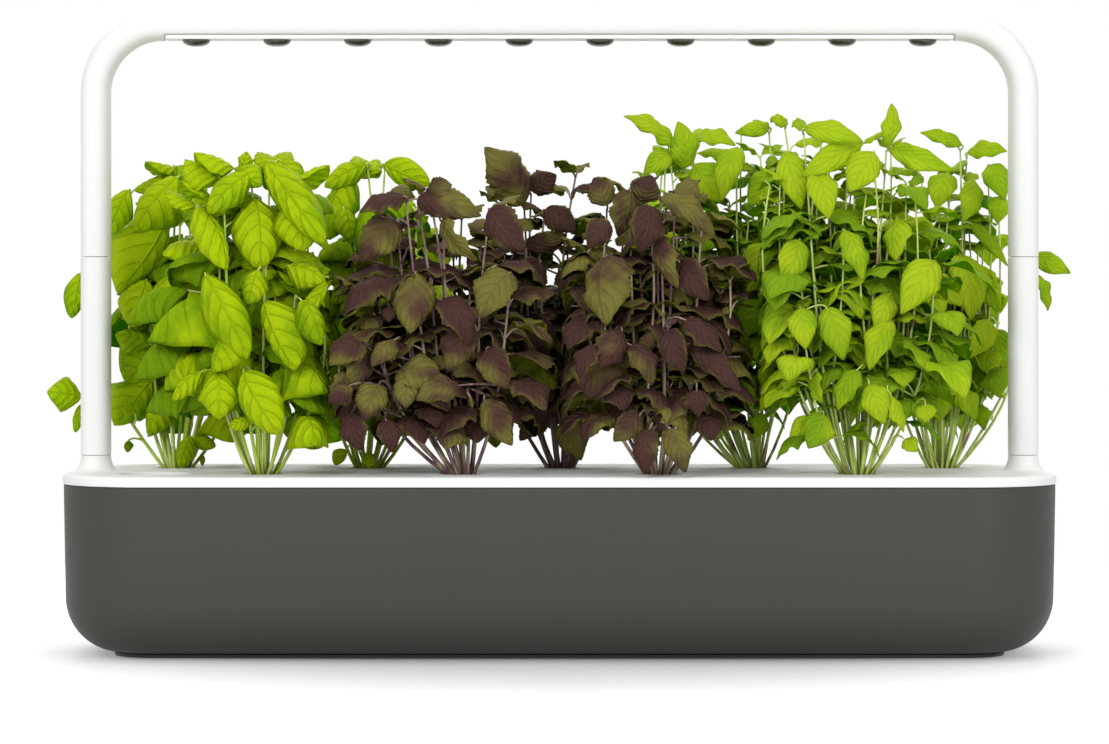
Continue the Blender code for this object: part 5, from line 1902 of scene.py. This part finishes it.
@dataclass
class Plant:
    """One pod's plant: its stems fan out of the pod, and leaf pairs grow along them."""

    number: int
    herb: Herb
    at: Pair
    cell: Cell
    reach: Pair
    top: float
    foot: float = 0.1112
    crown: float = 0.0085
    steps: int = 14
    seen_near: float = 0.012
    seen_range: float = 0.036
    seen_step: float = 0.004
    seen_widening: float = 1.18
    seen_stride: int = 7
    seen_layers: int = 5
    seen_lean: Pair = (0.15, 0.45)
    seen_facing: Triple = (0.0, -1.0, 0.25)
    seen_turn: float = 0.38
    seen_arch: Pair = (0.18, 0.50)
    seen_rise: float = 0.06
    stem_back: float = 0.014
    stem_leap: Pair = (0.618, 0.2)
    stem_leading: int = 4
    stem_spiral: float = 0.6
    head_shift: Triple = (0, 0.009, -0.003)
    head_room: float = 0.006
    hidden_share: float = 0.5
    hidden_room: float = 0.006
    hidden_depth: float = 0.010
    stalk_steps: int = 6
    stalk_climb: float = 3.0
    stalk_swing: float = 0.4
    stalk_rise: float = 0.12
    stalk_end: float = 0.0015
    stem_sides: int = 8
    stalk_sides: int = 5
    stem_floor: float = 0.01
    thickness: float = 0.00035
    buried_depth: float = 0.04
    arms: float = 0.288
    deck_v: float = 470.0
    growth_v: float = 320.0

    def shape(self) -> Blade:
        """Looks up the herb.

        Returns:
            Its blade.
        """
        return self.herb.value[0]

    def growth(self) -> Growth:
        """Looks up the herb.

        Returns:
            How it grows.
        """
        return self.herb.value[1]

    def dice(self, draw: Draw) -> np.random.Generator:
        """Starts the plant's series of random numbers for one use.

        Args:
            draw: the use.

        Returns:
            The series.
        """
        return np.random.default_rng(SEED + draw.value + self.number)

    def seen(self) -> Leaves:
        """Turns this plant's measured leaves into arrays.

        A leaf lies in the picture's plane from base to tip. Its tip leans forward by a share of
        its length, and its middle stands forward and up so that the blade arches.

        Returns:
            The leaves, whose upper sides face the front.
        """
        rows = np.array([
            (s.base_u, s.base_v, s.tip_u, s.tip_v, s.width, s.tone) for s in SEEN[self.number]
        ])
        count = len(rows)
        photo = Photo()
        up_share = np.clip((self.deck_v - (rows[:, 1] + rows[:, 3]) / 2) / self.growth_v, 0, 1)
        near = self.cell.low[1] + self.seen_near
        layer = (np.arange(count) * self.seen_stride) % self.seen_layers - self.seen_layers // 2
        depth = near + self.seen_range * up_share + self.seen_step * layer
        base = photo.place(rows[:, 0], rows[:, 1], depth)
        tip = photo.place(rows[:, 2], rows[:, 3], depth)
        width = rows[:, 4] * (photo.distance + depth) / photo.focal
        chord = np.linalg.norm(tip - base, axis=1)
        dice = self.dice(Draw.SEEN)
        lean = chord * dice.uniform(*self.seen_lean, count)
        base[:, 1] += lean / 2
        tip[:, 1] -= lean / 2
        ahead = unit(tip - base)
        facing = np.array(self.seen_facing) + dice.normal(0, self.seen_turn, (count, 3))
        across = unit(np.cross(facing, ahead))
        front = np.cross(ahead, across)
        arch = dice.uniform(*self.seen_arch, count)
        middle = (base + tip) / 2 + front * chord[:, None] * arch[:, None]
        middle[:, 2] += chord * self.seen_rise
        return Leaves(base, middle, tip, across, width * self.seen_widening, rows[:, 5])

    def stem_lines(self, seen: Leaves) -> Array:
        """Lays the stems from the pod's hole to the highest seen leaves and to even places between.

        A stem starts at its foot in the hole, and its way out to its head follows
        1 - (1-t)^p, where p is the growth's flare, so that it fans out low down and then stands
        up, with a slight sway.

        Args:
            seen: the measured leaves.

        Returns:
            An array of stems by points by three.
        """
        growth = self.growth()
        dice = self.dice(Draw.STEMS)
        count = growth.stems
        shares = (np.arange(count) + 0.5) / count
        x = self.reach[0] + (self.reach[1] - self.reach[0]) * shares
        near = self.cell.low[1] + self.seen_near + self.seen_range
        far = self.cell.high[1] - self.stem_back
        leap, start = self.stem_leap
        y = near + (far - near) * ((np.arange(count) * leap + start) % 1.0)
        middle = (self.reach[0] + self.reach[1]) / 2
        edge = np.abs(x - middle) / (self.reach[1] - self.reach[0]) * 2
        tall = dice.uniform(*growth.tall, count) * (1 - growth.sides_drop * edge**2)
        z = self.foot + (self.top - self.foot) * tall
        high = np.argsort(-seen.base[:, 2])
        picked = high[: max(self.stem_leading, count // 2)]
        slots = np.argsort(np.abs(x[None] - seen.base[picked, 0][:, None]), axis=1)
        used: set[int] = set()
        for leaf, order in zip(picked, slots):
            free = [int(i) for i in order if int(i) not in used]
            if free:
                used.add(free[0])
                x[free[0]], y[free[0]], z[free[0]] = seen.base[leaf] + self.head_shift
        z = np.minimum(z, self.top - self.head_room)
        spin = np.arange(count) * GOLDEN_TURN
        spread = self.crown * np.sqrt((np.arange(count) + self.stem_spiral) / count)
        spiral = spread * np.cos(spin), spread * np.sin(spin)
        foot = np.stack([self.at[0] + spiral[0], self.at[1] + spiral[1]], axis=-1)
        foot = foot[np.argsort(foot[:, 0])][np.argsort(np.argsort(x))]
        t = np.linspace(0, 1, self.steps)[None, :, None]
        flare = dice.uniform(*growth.flare, (count, 1, 1))
        flat = foot[:, None] + (np.stack([x, y], axis=-1) - foot)[:, None] * (1 - (1 - t) ** flare)
        sway = dice.normal(0, growth.sway[0], (count, 1, 2)) * np.sin(pi * t)
        sway = sway + dice.normal(0, growth.sway[1], (count, 1, 2)) * np.sin(2 * pi * t)
        height = self.foot + (z - self.foot)[:, None, None] * t
        return np.concatenate([flat + sway, height], axis=-1)

    def pairs(self, lines: Array) -> Leaves:
        """Grows opposite leaf pairs along the stems, each pair turned a quarter from the last.

        A leaf leaves its stem a little above level and droops by the herb's droop along its
        length. Pairs near a stem's head are smaller and stand up more.

        Args:
            lines: the stems.

        Returns:
            The leaves.
        """
        growth, shape = self.growth(), self.shape()
        dice = self.dice(Draw.PAIRS)
        up = np.array([0, 0, 1])
        lengths = np.linalg.norm(np.diff(lines, axis=1), axis=2).sum(axis=1)
        made = []
        for i, line in enumerate(lines):
            nodes = np.arange(1.0, growth.lowest, -growth.node_gap / lengths[i])
            nodes = nodes + dice.normal(0, growth.node_shift, len(nodes))
            nodes[0] = 1.0
            for k, share in enumerate(np.clip(nodes, growth.node_low, 1.0)):
                place = share * (self.steps - 1)
                low = min(int(place), self.steps - 2)
                root = line[low] + (line[low + 1] - line[low]) * (place - low)
                for partner in (0, 1):
                    turn = dice.uniform(-growth.node_turn, growth.node_turn)
                    turn = turn + i * growth.stem_turn + k * pi / 2 + partner * pi
                    made.append((*root, turn, share, float(k)))
        rows = np.array(made)
        count = len(rows)
        root, turn, share, rank = rows[:, :3], rows[:, 3], rows[:, 4], rows[:, 5]
        young = np.clip(1 - rank / growth.young_pairs, 0, 1)
        size = shape.length * (1 - growth.young_small * young) * dice.uniform(*growth.size, count)
        full = np.clip((share - growth.lowest) * growth.low_rate, 0, 1)
        size *= growth.low_size + (1 - growth.low_size) * full
        out = np.stack([np.cos(turn), np.sin(turn), np.zeros(count)], axis=-1)
        rise = growth.rise + growth.young_rise * young
        droop = growth.droop * (1 - growth.young_firm * young)
        droop = droop * dice.uniform(*growth.droop_spread, count)
        start = unit(out + up * rise[:, None])
        base = root + start * (growth.petiole * (1 - growth.young_short * young))[:, None]
        first = unit(out + up * (rise * growth.arch)[:, None])
        ahead = np.cos(np.clip(droop * growth.tip_turn, 0, growth.most_turn))
        end_rise = rise * growth.arch - droop * growth.tip_drop
        last = unit(out * ahead[:, None] + up * end_rise[:, None])
        middle = base + first * size[:, None] * growth.first_part
        tip = middle + last * size[:, None] * (1 - growth.first_part)
        level = np.stack([-np.sin(turn), np.cos(turn), dice.normal(0, growth.roll, count)], axis=-1)
        low, high = np.array(self.cell.low), np.array(self.cell.high)
        # Leaves deep inside the plant's room, far from its front, back and top, are drawn darker:
        # painted shade, with some of the darker green of older leaves
        reach = np.minimum(tip[:, 1] - low[1], high[1] - tip[:, 1])
        buried = np.clip(np.minimum(reach, high[2] - tip[:, 2]) / self.buried_depth, 0, 1)
        tone = dice.normal(*growth.tone, count) + young * growth.young_tone
        tone = np.clip(tone - buried * growth.depth_shade_and_age, 0, 1)
        width = size * shape.width_share * dice.uniform(*growth.width, count)
        return Leaves(base, middle, tip, unit(level), width, tone)

    def unhidden(self, grown: Leaves, seen: Leaves) -> Leaves:
        """Leaves out grown leaves that would hide a measured one, or that pass the arms.

        Args:
            grown: the grown leaves.
            seen: the measured leaves.

        Returns:
            The grown leaves that stay.
        """
        centre = (grown.base + grown.tip) / 2
        aim = (seen.base + seen.tip) / 2
        room = np.linalg.norm(seen.tip - seen.base, axis=1) * self.hidden_share + self.hidden_room
        apart = np.hypot(
            centre[:, None, 0] - aim[None, :, 0], centre[:, None, 2] - aim[None, :, 2]
        )
        front = np.minimum(grown.tip[:, 1], centre[:, 1])
        nearer = front[:, None] < aim[None, :, 1] + self.hidden_depth
        hiding = ((apart < room[None]) & nearer).any(axis=1)
        outside = np.maximum(np.abs(grown.tip[:, 0]), np.abs(grown.base[:, 0])) > self.arms
        return grown.taken(~(hiding | outside))

    def petioles(self, leaves: Leaves, lines: Array) -> tuple[Array, Array]:
        """Leads a leaf stalk from the nearest lower place on a stem to each leaf's base.

        Args:
            leaves: the leaves.
            lines: the stems.

        Returns:
            Lines as leaves by points by three, and their radii.
        """
        points = lines.reshape(-1, 3)
        gap = leaves.base[:, None] - points[None]
        far = np.linalg.norm(gap, axis=2) + np.clip(-gap[..., 2], 0, None) * self.stalk_climb
        root = points[far.argmin(axis=1)]
        ahead = unit(leaves.middle - leaves.base)
        reach = np.linalg.norm(leaves.base - root, axis=1)[:, None]
        middle = leaves.base - ahead * reach * self.stalk_swing
        middle = middle + np.array([0, 0, 1]) * reach * self.stalk_rise
        t = np.linspace(0, 1, self.stalk_steps)
        paths = curve(root, middle, leaves.base + ahead * self.stalk_end, t)
        full, loss = self.growth().stalk
        thick = self.growth().stem_radius * (full - loss * t)[None]
        return paths, np.broadcast_to(thick, paths.shape[:2])

    def foliage(self, leaves: Leaves) -> Object:
        """Puts every blade into one mesh with its own map and tones, and thickens it.

        Args:
            leaves: the leaves.

        Returns:
            The foliage.
        """
        points, grid = blades(leaves, self.shape())
        points = kept_in(points, self.cell)
        count, rows, columns = points.shape[:3]
        faces = grid_faces(rows, columns, grids=count)
        made = mesh_object(f"foliage_{self.number}", points.reshape(-1, 3), faces)
        corners = np.empty(len(made.data.loops), np.int32)
        made.data.loops.foreach_get("vertex_index", corners)
        flat = np.tile(grid.reshape(-1, 2), (count, 1))[corners]
        blade_map = made.data.uv_layers.new(name="blade")
        blade_map.data.foreach_set("uv", flat.ravel().astype(np.float32))
        tone = made.data.attributes.new("tone", "FLOAT", "POINT")
        tone.data.foreach_set("value", np.repeat(leaves.tone, rows * columns).astype(np.float32))
        thicken = made.modifiers.new("thickness", "SOLIDIFY")
        thicken.thickness = self.thickness
        thicken.offset = -1
        thicken.material_offset = 1
        return made

    def build(self, looks: tuple[Material, Material, Material]) -> None:
        """Builds and dresses the plant's leaves and stems.

        Args:
            looks: the materials of a leaf's upper side, its underside and the stems.
        """
        seen = self.seen()
        lines = self.stem_lines(seen)
        grown = self.unhidden(self.pairs(lines), seen)
        leaves = seen.and_those(grown)
        leafage = self.foliage(leaves)
        dressed(leafage, looks[0], f"pod_{self.number}", f"plant_{self.number}")
        leafage.data.materials.append(looks[1])
        growth = self.growth()
        taper = growth.stem_radius * np.linspace(*growth.taper, self.steps)[None]
        taper = taper * np.ones((len(lines), 1))
        stem_points, stem_faces = tubes(lines, taper, self.stem_sides)
        stalks, thick = self.petioles(leaves, lines)
        stalk_points, stalk_faces = tubes(stalks, thick, self.stalk_sides)
        shift = len(stem_points)
        faces = stem_faces + [[corner + shift for corner in face] for face in stalk_faces]
        points = np.concatenate([stem_points, stalk_points])
        low = np.array(self.cell.low) - (0, 0, self.stem_floor)
        points = np.clip(points, low, self.cell.high)
        stems = mesh_object(f"stems_{self.number}", points, faces)
        dressed(stems, looks[2], f"pod_{self.number}")
        LOG.info("plant %d: %d leaves, %d stems", self.number, len(leaves.width), len(lines))


# How high each plant grows, and how far its mass reaches on X, measured in the photograph
TOPS = (0.3105, 0.3130, 0.3140, 0.2965, 0.3185, 0.3000, 0.3400, 0.3420, 0.3325)
REACHES = (
    (-0.282, -0.208), (-0.224, -0.150), (-0.153, -0.082), (-0.130, -0.036), (-0.050, 0.032),
    (0.014, 0.108), (0.048, 0.156), (0.128, 0.228), (0.221, 0.288),
)
# Where each pod's room ends on X, so that neighbours in a row don't share room
SIDES = (
    (-0.3285, -0.1850), (-0.2743, -0.1419), (-0.1825, -0.0625), (-0.1401, -0.0012),
    (-0.0600, 0.0390), (0.0012, 0.1212), (0.0410, 0.1825), (0.1238, 0.2743), (0.1850, 0.3285),
)


@dataclass
class Garden:
    """The nine plants in their pods."""

    places: list[Pair]
    front: float = -0.1005
    back: float = 0.1005
    lane: float = 0.0023
    beside_arms: float = 0.0225
    floor: float = 0.1145

    def cells(self) -> list[Cell]:
        """Gives each pod's room, from left to right.

        Returns:
            Nine cells, rear and front in turn.
        """
        made = []
        for number, (left, right) in enumerate(SIDES, start=1):
            near, far = (self.lane, self.back) if number % 2 else (self.front, -self.lane)
            if number in (1, len(SIDES)):
                near = self.beside_arms
            made.append(Cell((left, near, self.floor), (right, far, TOPS[number - 1])))
        return made

    def build(self) -> None:
        """Builds all plants, three of each herb."""
        looks = {}
        for herb in Herb:
            leaf, stem = herb.value[2:]
            looks[herb] = (leaf.material(), leaf.material(below=True), stem.material())
        herbs = [Herb.SWEET] * 3 + [Herb.PURPLE] * 3 + [Herb.LEMON] * 3
        rows = zip(herbs, self.places, self.cells(), REACHES, TOPS)
        for number, (herb, at, cell, reach, top) in enumerate(rows, start=1):
            Plant(number, herb, at, cell, reach, top).build(looks[herb])


# Light, floor and camera


@dataclass(frozen=True)
class SoftLamp:
    """A soft rectangular lamp: where it hangs, the point it faces, its size and its watts."""

    name: str
    at: Triple
    aim: Triple
    size: Pair
    watts: float

    def build(self) -> None:
        """Adds the lamp to the scene."""
        data = bpy.data.lights.new(self.name, "AREA")
        data.shape = "RECTANGLE"
        data.size, data.size_y = self.size
        data.energy = self.watts
        made = bpy.data.objects.new(self.name, data)
        made.location = self.at
        facing = Vector(self.aim) - Vector(self.at)
        made.rotation_euler = facing.to_track_quat("-Z", "Y").to_euler()
        bpy.context.scene.collection.objects.link(made)


LAMPS = (
    SoftLamp(name="overhead", at=(0, 0.1, 2.5), aim=(0, 0, 0.1), size=(2.2, 1.4), watts=11.5),
    SoftLamp(name="back", at=(0, 2.6, 1.7), aim=(0, 0, 0.1), size=(2.6, 1.1), watts=40),
    SoftLamp(name="front_left", at=(-1.0, -2.4, 1.4), aim=(0, 0, 0.2), size=(0.8, 1.0), watts=24),
    SoftLamp(name="front_right", at=(1.1, -2.4, 1.0), aim=(0, 0, 0.2), size=(0.8, 1.0), watts=19),
)


@dataclass
class Studio:
    """A white sweep under soft light, and the camera that took the photograph."""

    photo: Photo
    floor_reach: Triple = (1.8, -2.2, 0.75)
    floor_white: float = 0.75
    floor_roughness: float = 0.9
    floor_specular: float = 0.1
    # Painted shadow: the floor's added emission is weakest near the garden. It is measured on a
    # distance whose X is squashed by this share
    painted_shadow_squash: float = 0.8
    clip: Pair = (0.1, 20)
    # The emission's least near the garden, which paints a soft shadow round the base, and its most
    # far off, which shows plain white; then the distances over which it rises from one to the other
    glow_over_painted_shadow: Pair = (0.10, 0.55)
    painted_shadow_reach: Pair = (0.10, 0.40)
    world_strength: float = 0.56

    def world(self) -> None:
        """Lights all round with soft white, and shows plain white behind and in reflections."""
        world = bpy.data.worlds.new("studio")
        bpy.context.scene.world = world
        world.use_nodes = True
        tree = world.node_tree
        tree.nodes.clear()
        soft = add(tree, "Background", None, {"Strength": self.world_strength})
        plain = add(tree, "Background", None, {"Strength": 1.0})
        for shader in (soft, plain):
            shader.inputs["Color"].default_value = (1.0, 1.0, 1.0, 1.0)
        path = add(tree, "LightPath").outputs
        white = math_node(tree, "MAXIMUM", path["Is Camera Ray"], path["Is Glossy Ray"])
        inputs = {0: white, 1: soft.outputs[0], 2: plain.outputs[0]}
        mixed = add(tree, "MixShader", None, inputs)
        add(tree, "OutputWorld", None, {0: mixed.outputs[0]})

    def floor(self) -> None:
        """Lays the plain white floor.

        The camera and reflections see it whiter by an emission that rises with the distance
        sqrt((squash x)^2 + y^2) from the garden's middle. The emission is weakest near the garden,
        which paints a soft shadow round the base on top of the cast one, and far off the floor
        shows plain white.
        """
        wide, near, far = self.floor_reach
        corners = np.array([(-wide, near, 0), (wide, near, 0), (wide, far, 0), (-wide, far, 0)])
        made = mesh_object("floor", corners, [[0, 1, 2, 3]])
        material, tree, shader, place = shader_material("floor_white")
        path = add(tree, "LightPath").outputs
        shown = math_node(tree, "MAXIMUM", path["Is Camera Ray"], path["Is Glossy Ray"])
        inputs = {"Vector": place, "Scale": (self.painted_shadow_squash, 1.0, 0.0)}
        squashed = add(tree, "Mapping", None, inputs)
        far = add(tree, "VectorMath", {"operation": "LENGTH"}, {0: squashed.outputs[0]})
        # Less emission near the garden's middle: a painted shadow round the base
        ramp = ramp_node(tree, far.outputs["Value"], *self.painted_shadow_reach, *self.glow_over_painted_shadow)
        feed(tree, shader, {
            "Base Color": (*[self.floor_white] * 3, 1.0),
            "Roughness": self.floor_roughness,
            "Specular IOR Level": self.floor_specular,
            "Emission Color": (1.0, 1.0, 1.0, 1.0),
            "Emission Strength": math_node(tree, "MULTIPLY", shown, ramp),
        })
        made.data.materials.append(material)

    def camera(self) -> None:
        """Sets up the camera, level and square to the object, with its frame shifted down."""
        data = bpy.data.cameras.new("camera")
        photo = self.photo
        data.sensor_width = photo.sensor
        data.lens = photo.focal * photo.sensor / photo.width
        data.shift_x = (photo.width / 2 - photo.middle_u) / photo.width
        data.shift_y = (photo.horizon_v - photo.height / 2) / photo.width
        data.clip_start, data.clip_end = self.clip
        made = bpy.data.objects.new("camera", data)
        made.location = (0, -photo.distance, photo.eye)
        made.rotation_euler = (pi / 2, 0, 0)
        bpy.context.scene.collection.objects.link(made)
        bpy.context.scene.camera = made

    def build(self) -> None:
        """Sets up the light, floor, camera and colour."""
        self.world()
        self.floor()
        self.camera()
        for lamp in LAMPS:
            lamp.build()
        bpy.context.scene.view_settings.view_transform = "Standard"
        LOG.info("studio: light, floor and camera")


def dress_frame() -> None:
    """Gives the CAD pieces that are shown as they are their real finishes."""
    looks = {
        "water_tank": Finish.TANK, "power_inlet": Finish.BLACK, "heat_sink": Finish.ALUMINIUM,
        "led_board": Finish.BOARD, "arm_plug": Finish.NYLON, "arch_plug": Finish.NYLON,
        "contact_block": Finish.BRASS, "soil_plug": Finish.SOIL,
    }
    made: dict[Finish, Material] = {}
    for name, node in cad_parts.items():
        for start, finish in looks.items():
            if name.startswith(start):
                if finish not in made:
                    made[finish] = finish.value.material()
                for slot in node.material_slots:
                    slot.material = made[finish]
    LOG.info("frame: %d finishes on the CAD pieces", len(made))


def pod_places() -> list[Pair]:
    """Says where the pods sit, from left to right, odd ones in the rear row.

    Returns:
        (x, y) of each pod.
    """
    return [(i * POD_STEP, POD_ROW if i % 2 == 0 else -POD_ROW) for i in range(-4, 5)]


def main() -> None:
    """Builds the garden's looks piece by piece."""
    logging.basicConfig(level=logging.INFO, format="%(message)s")
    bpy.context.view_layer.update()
    places = pod_places()
    plan = Plan()
    Base(plan).build()
    Deck(plan, places).build()
    Well().build()
    Lamp().build()
    Pods(places).build()
    dress_frame()
    Garden(places).build()
    Studio(Photo()).build()


if __name__ == "__main__":
    main()
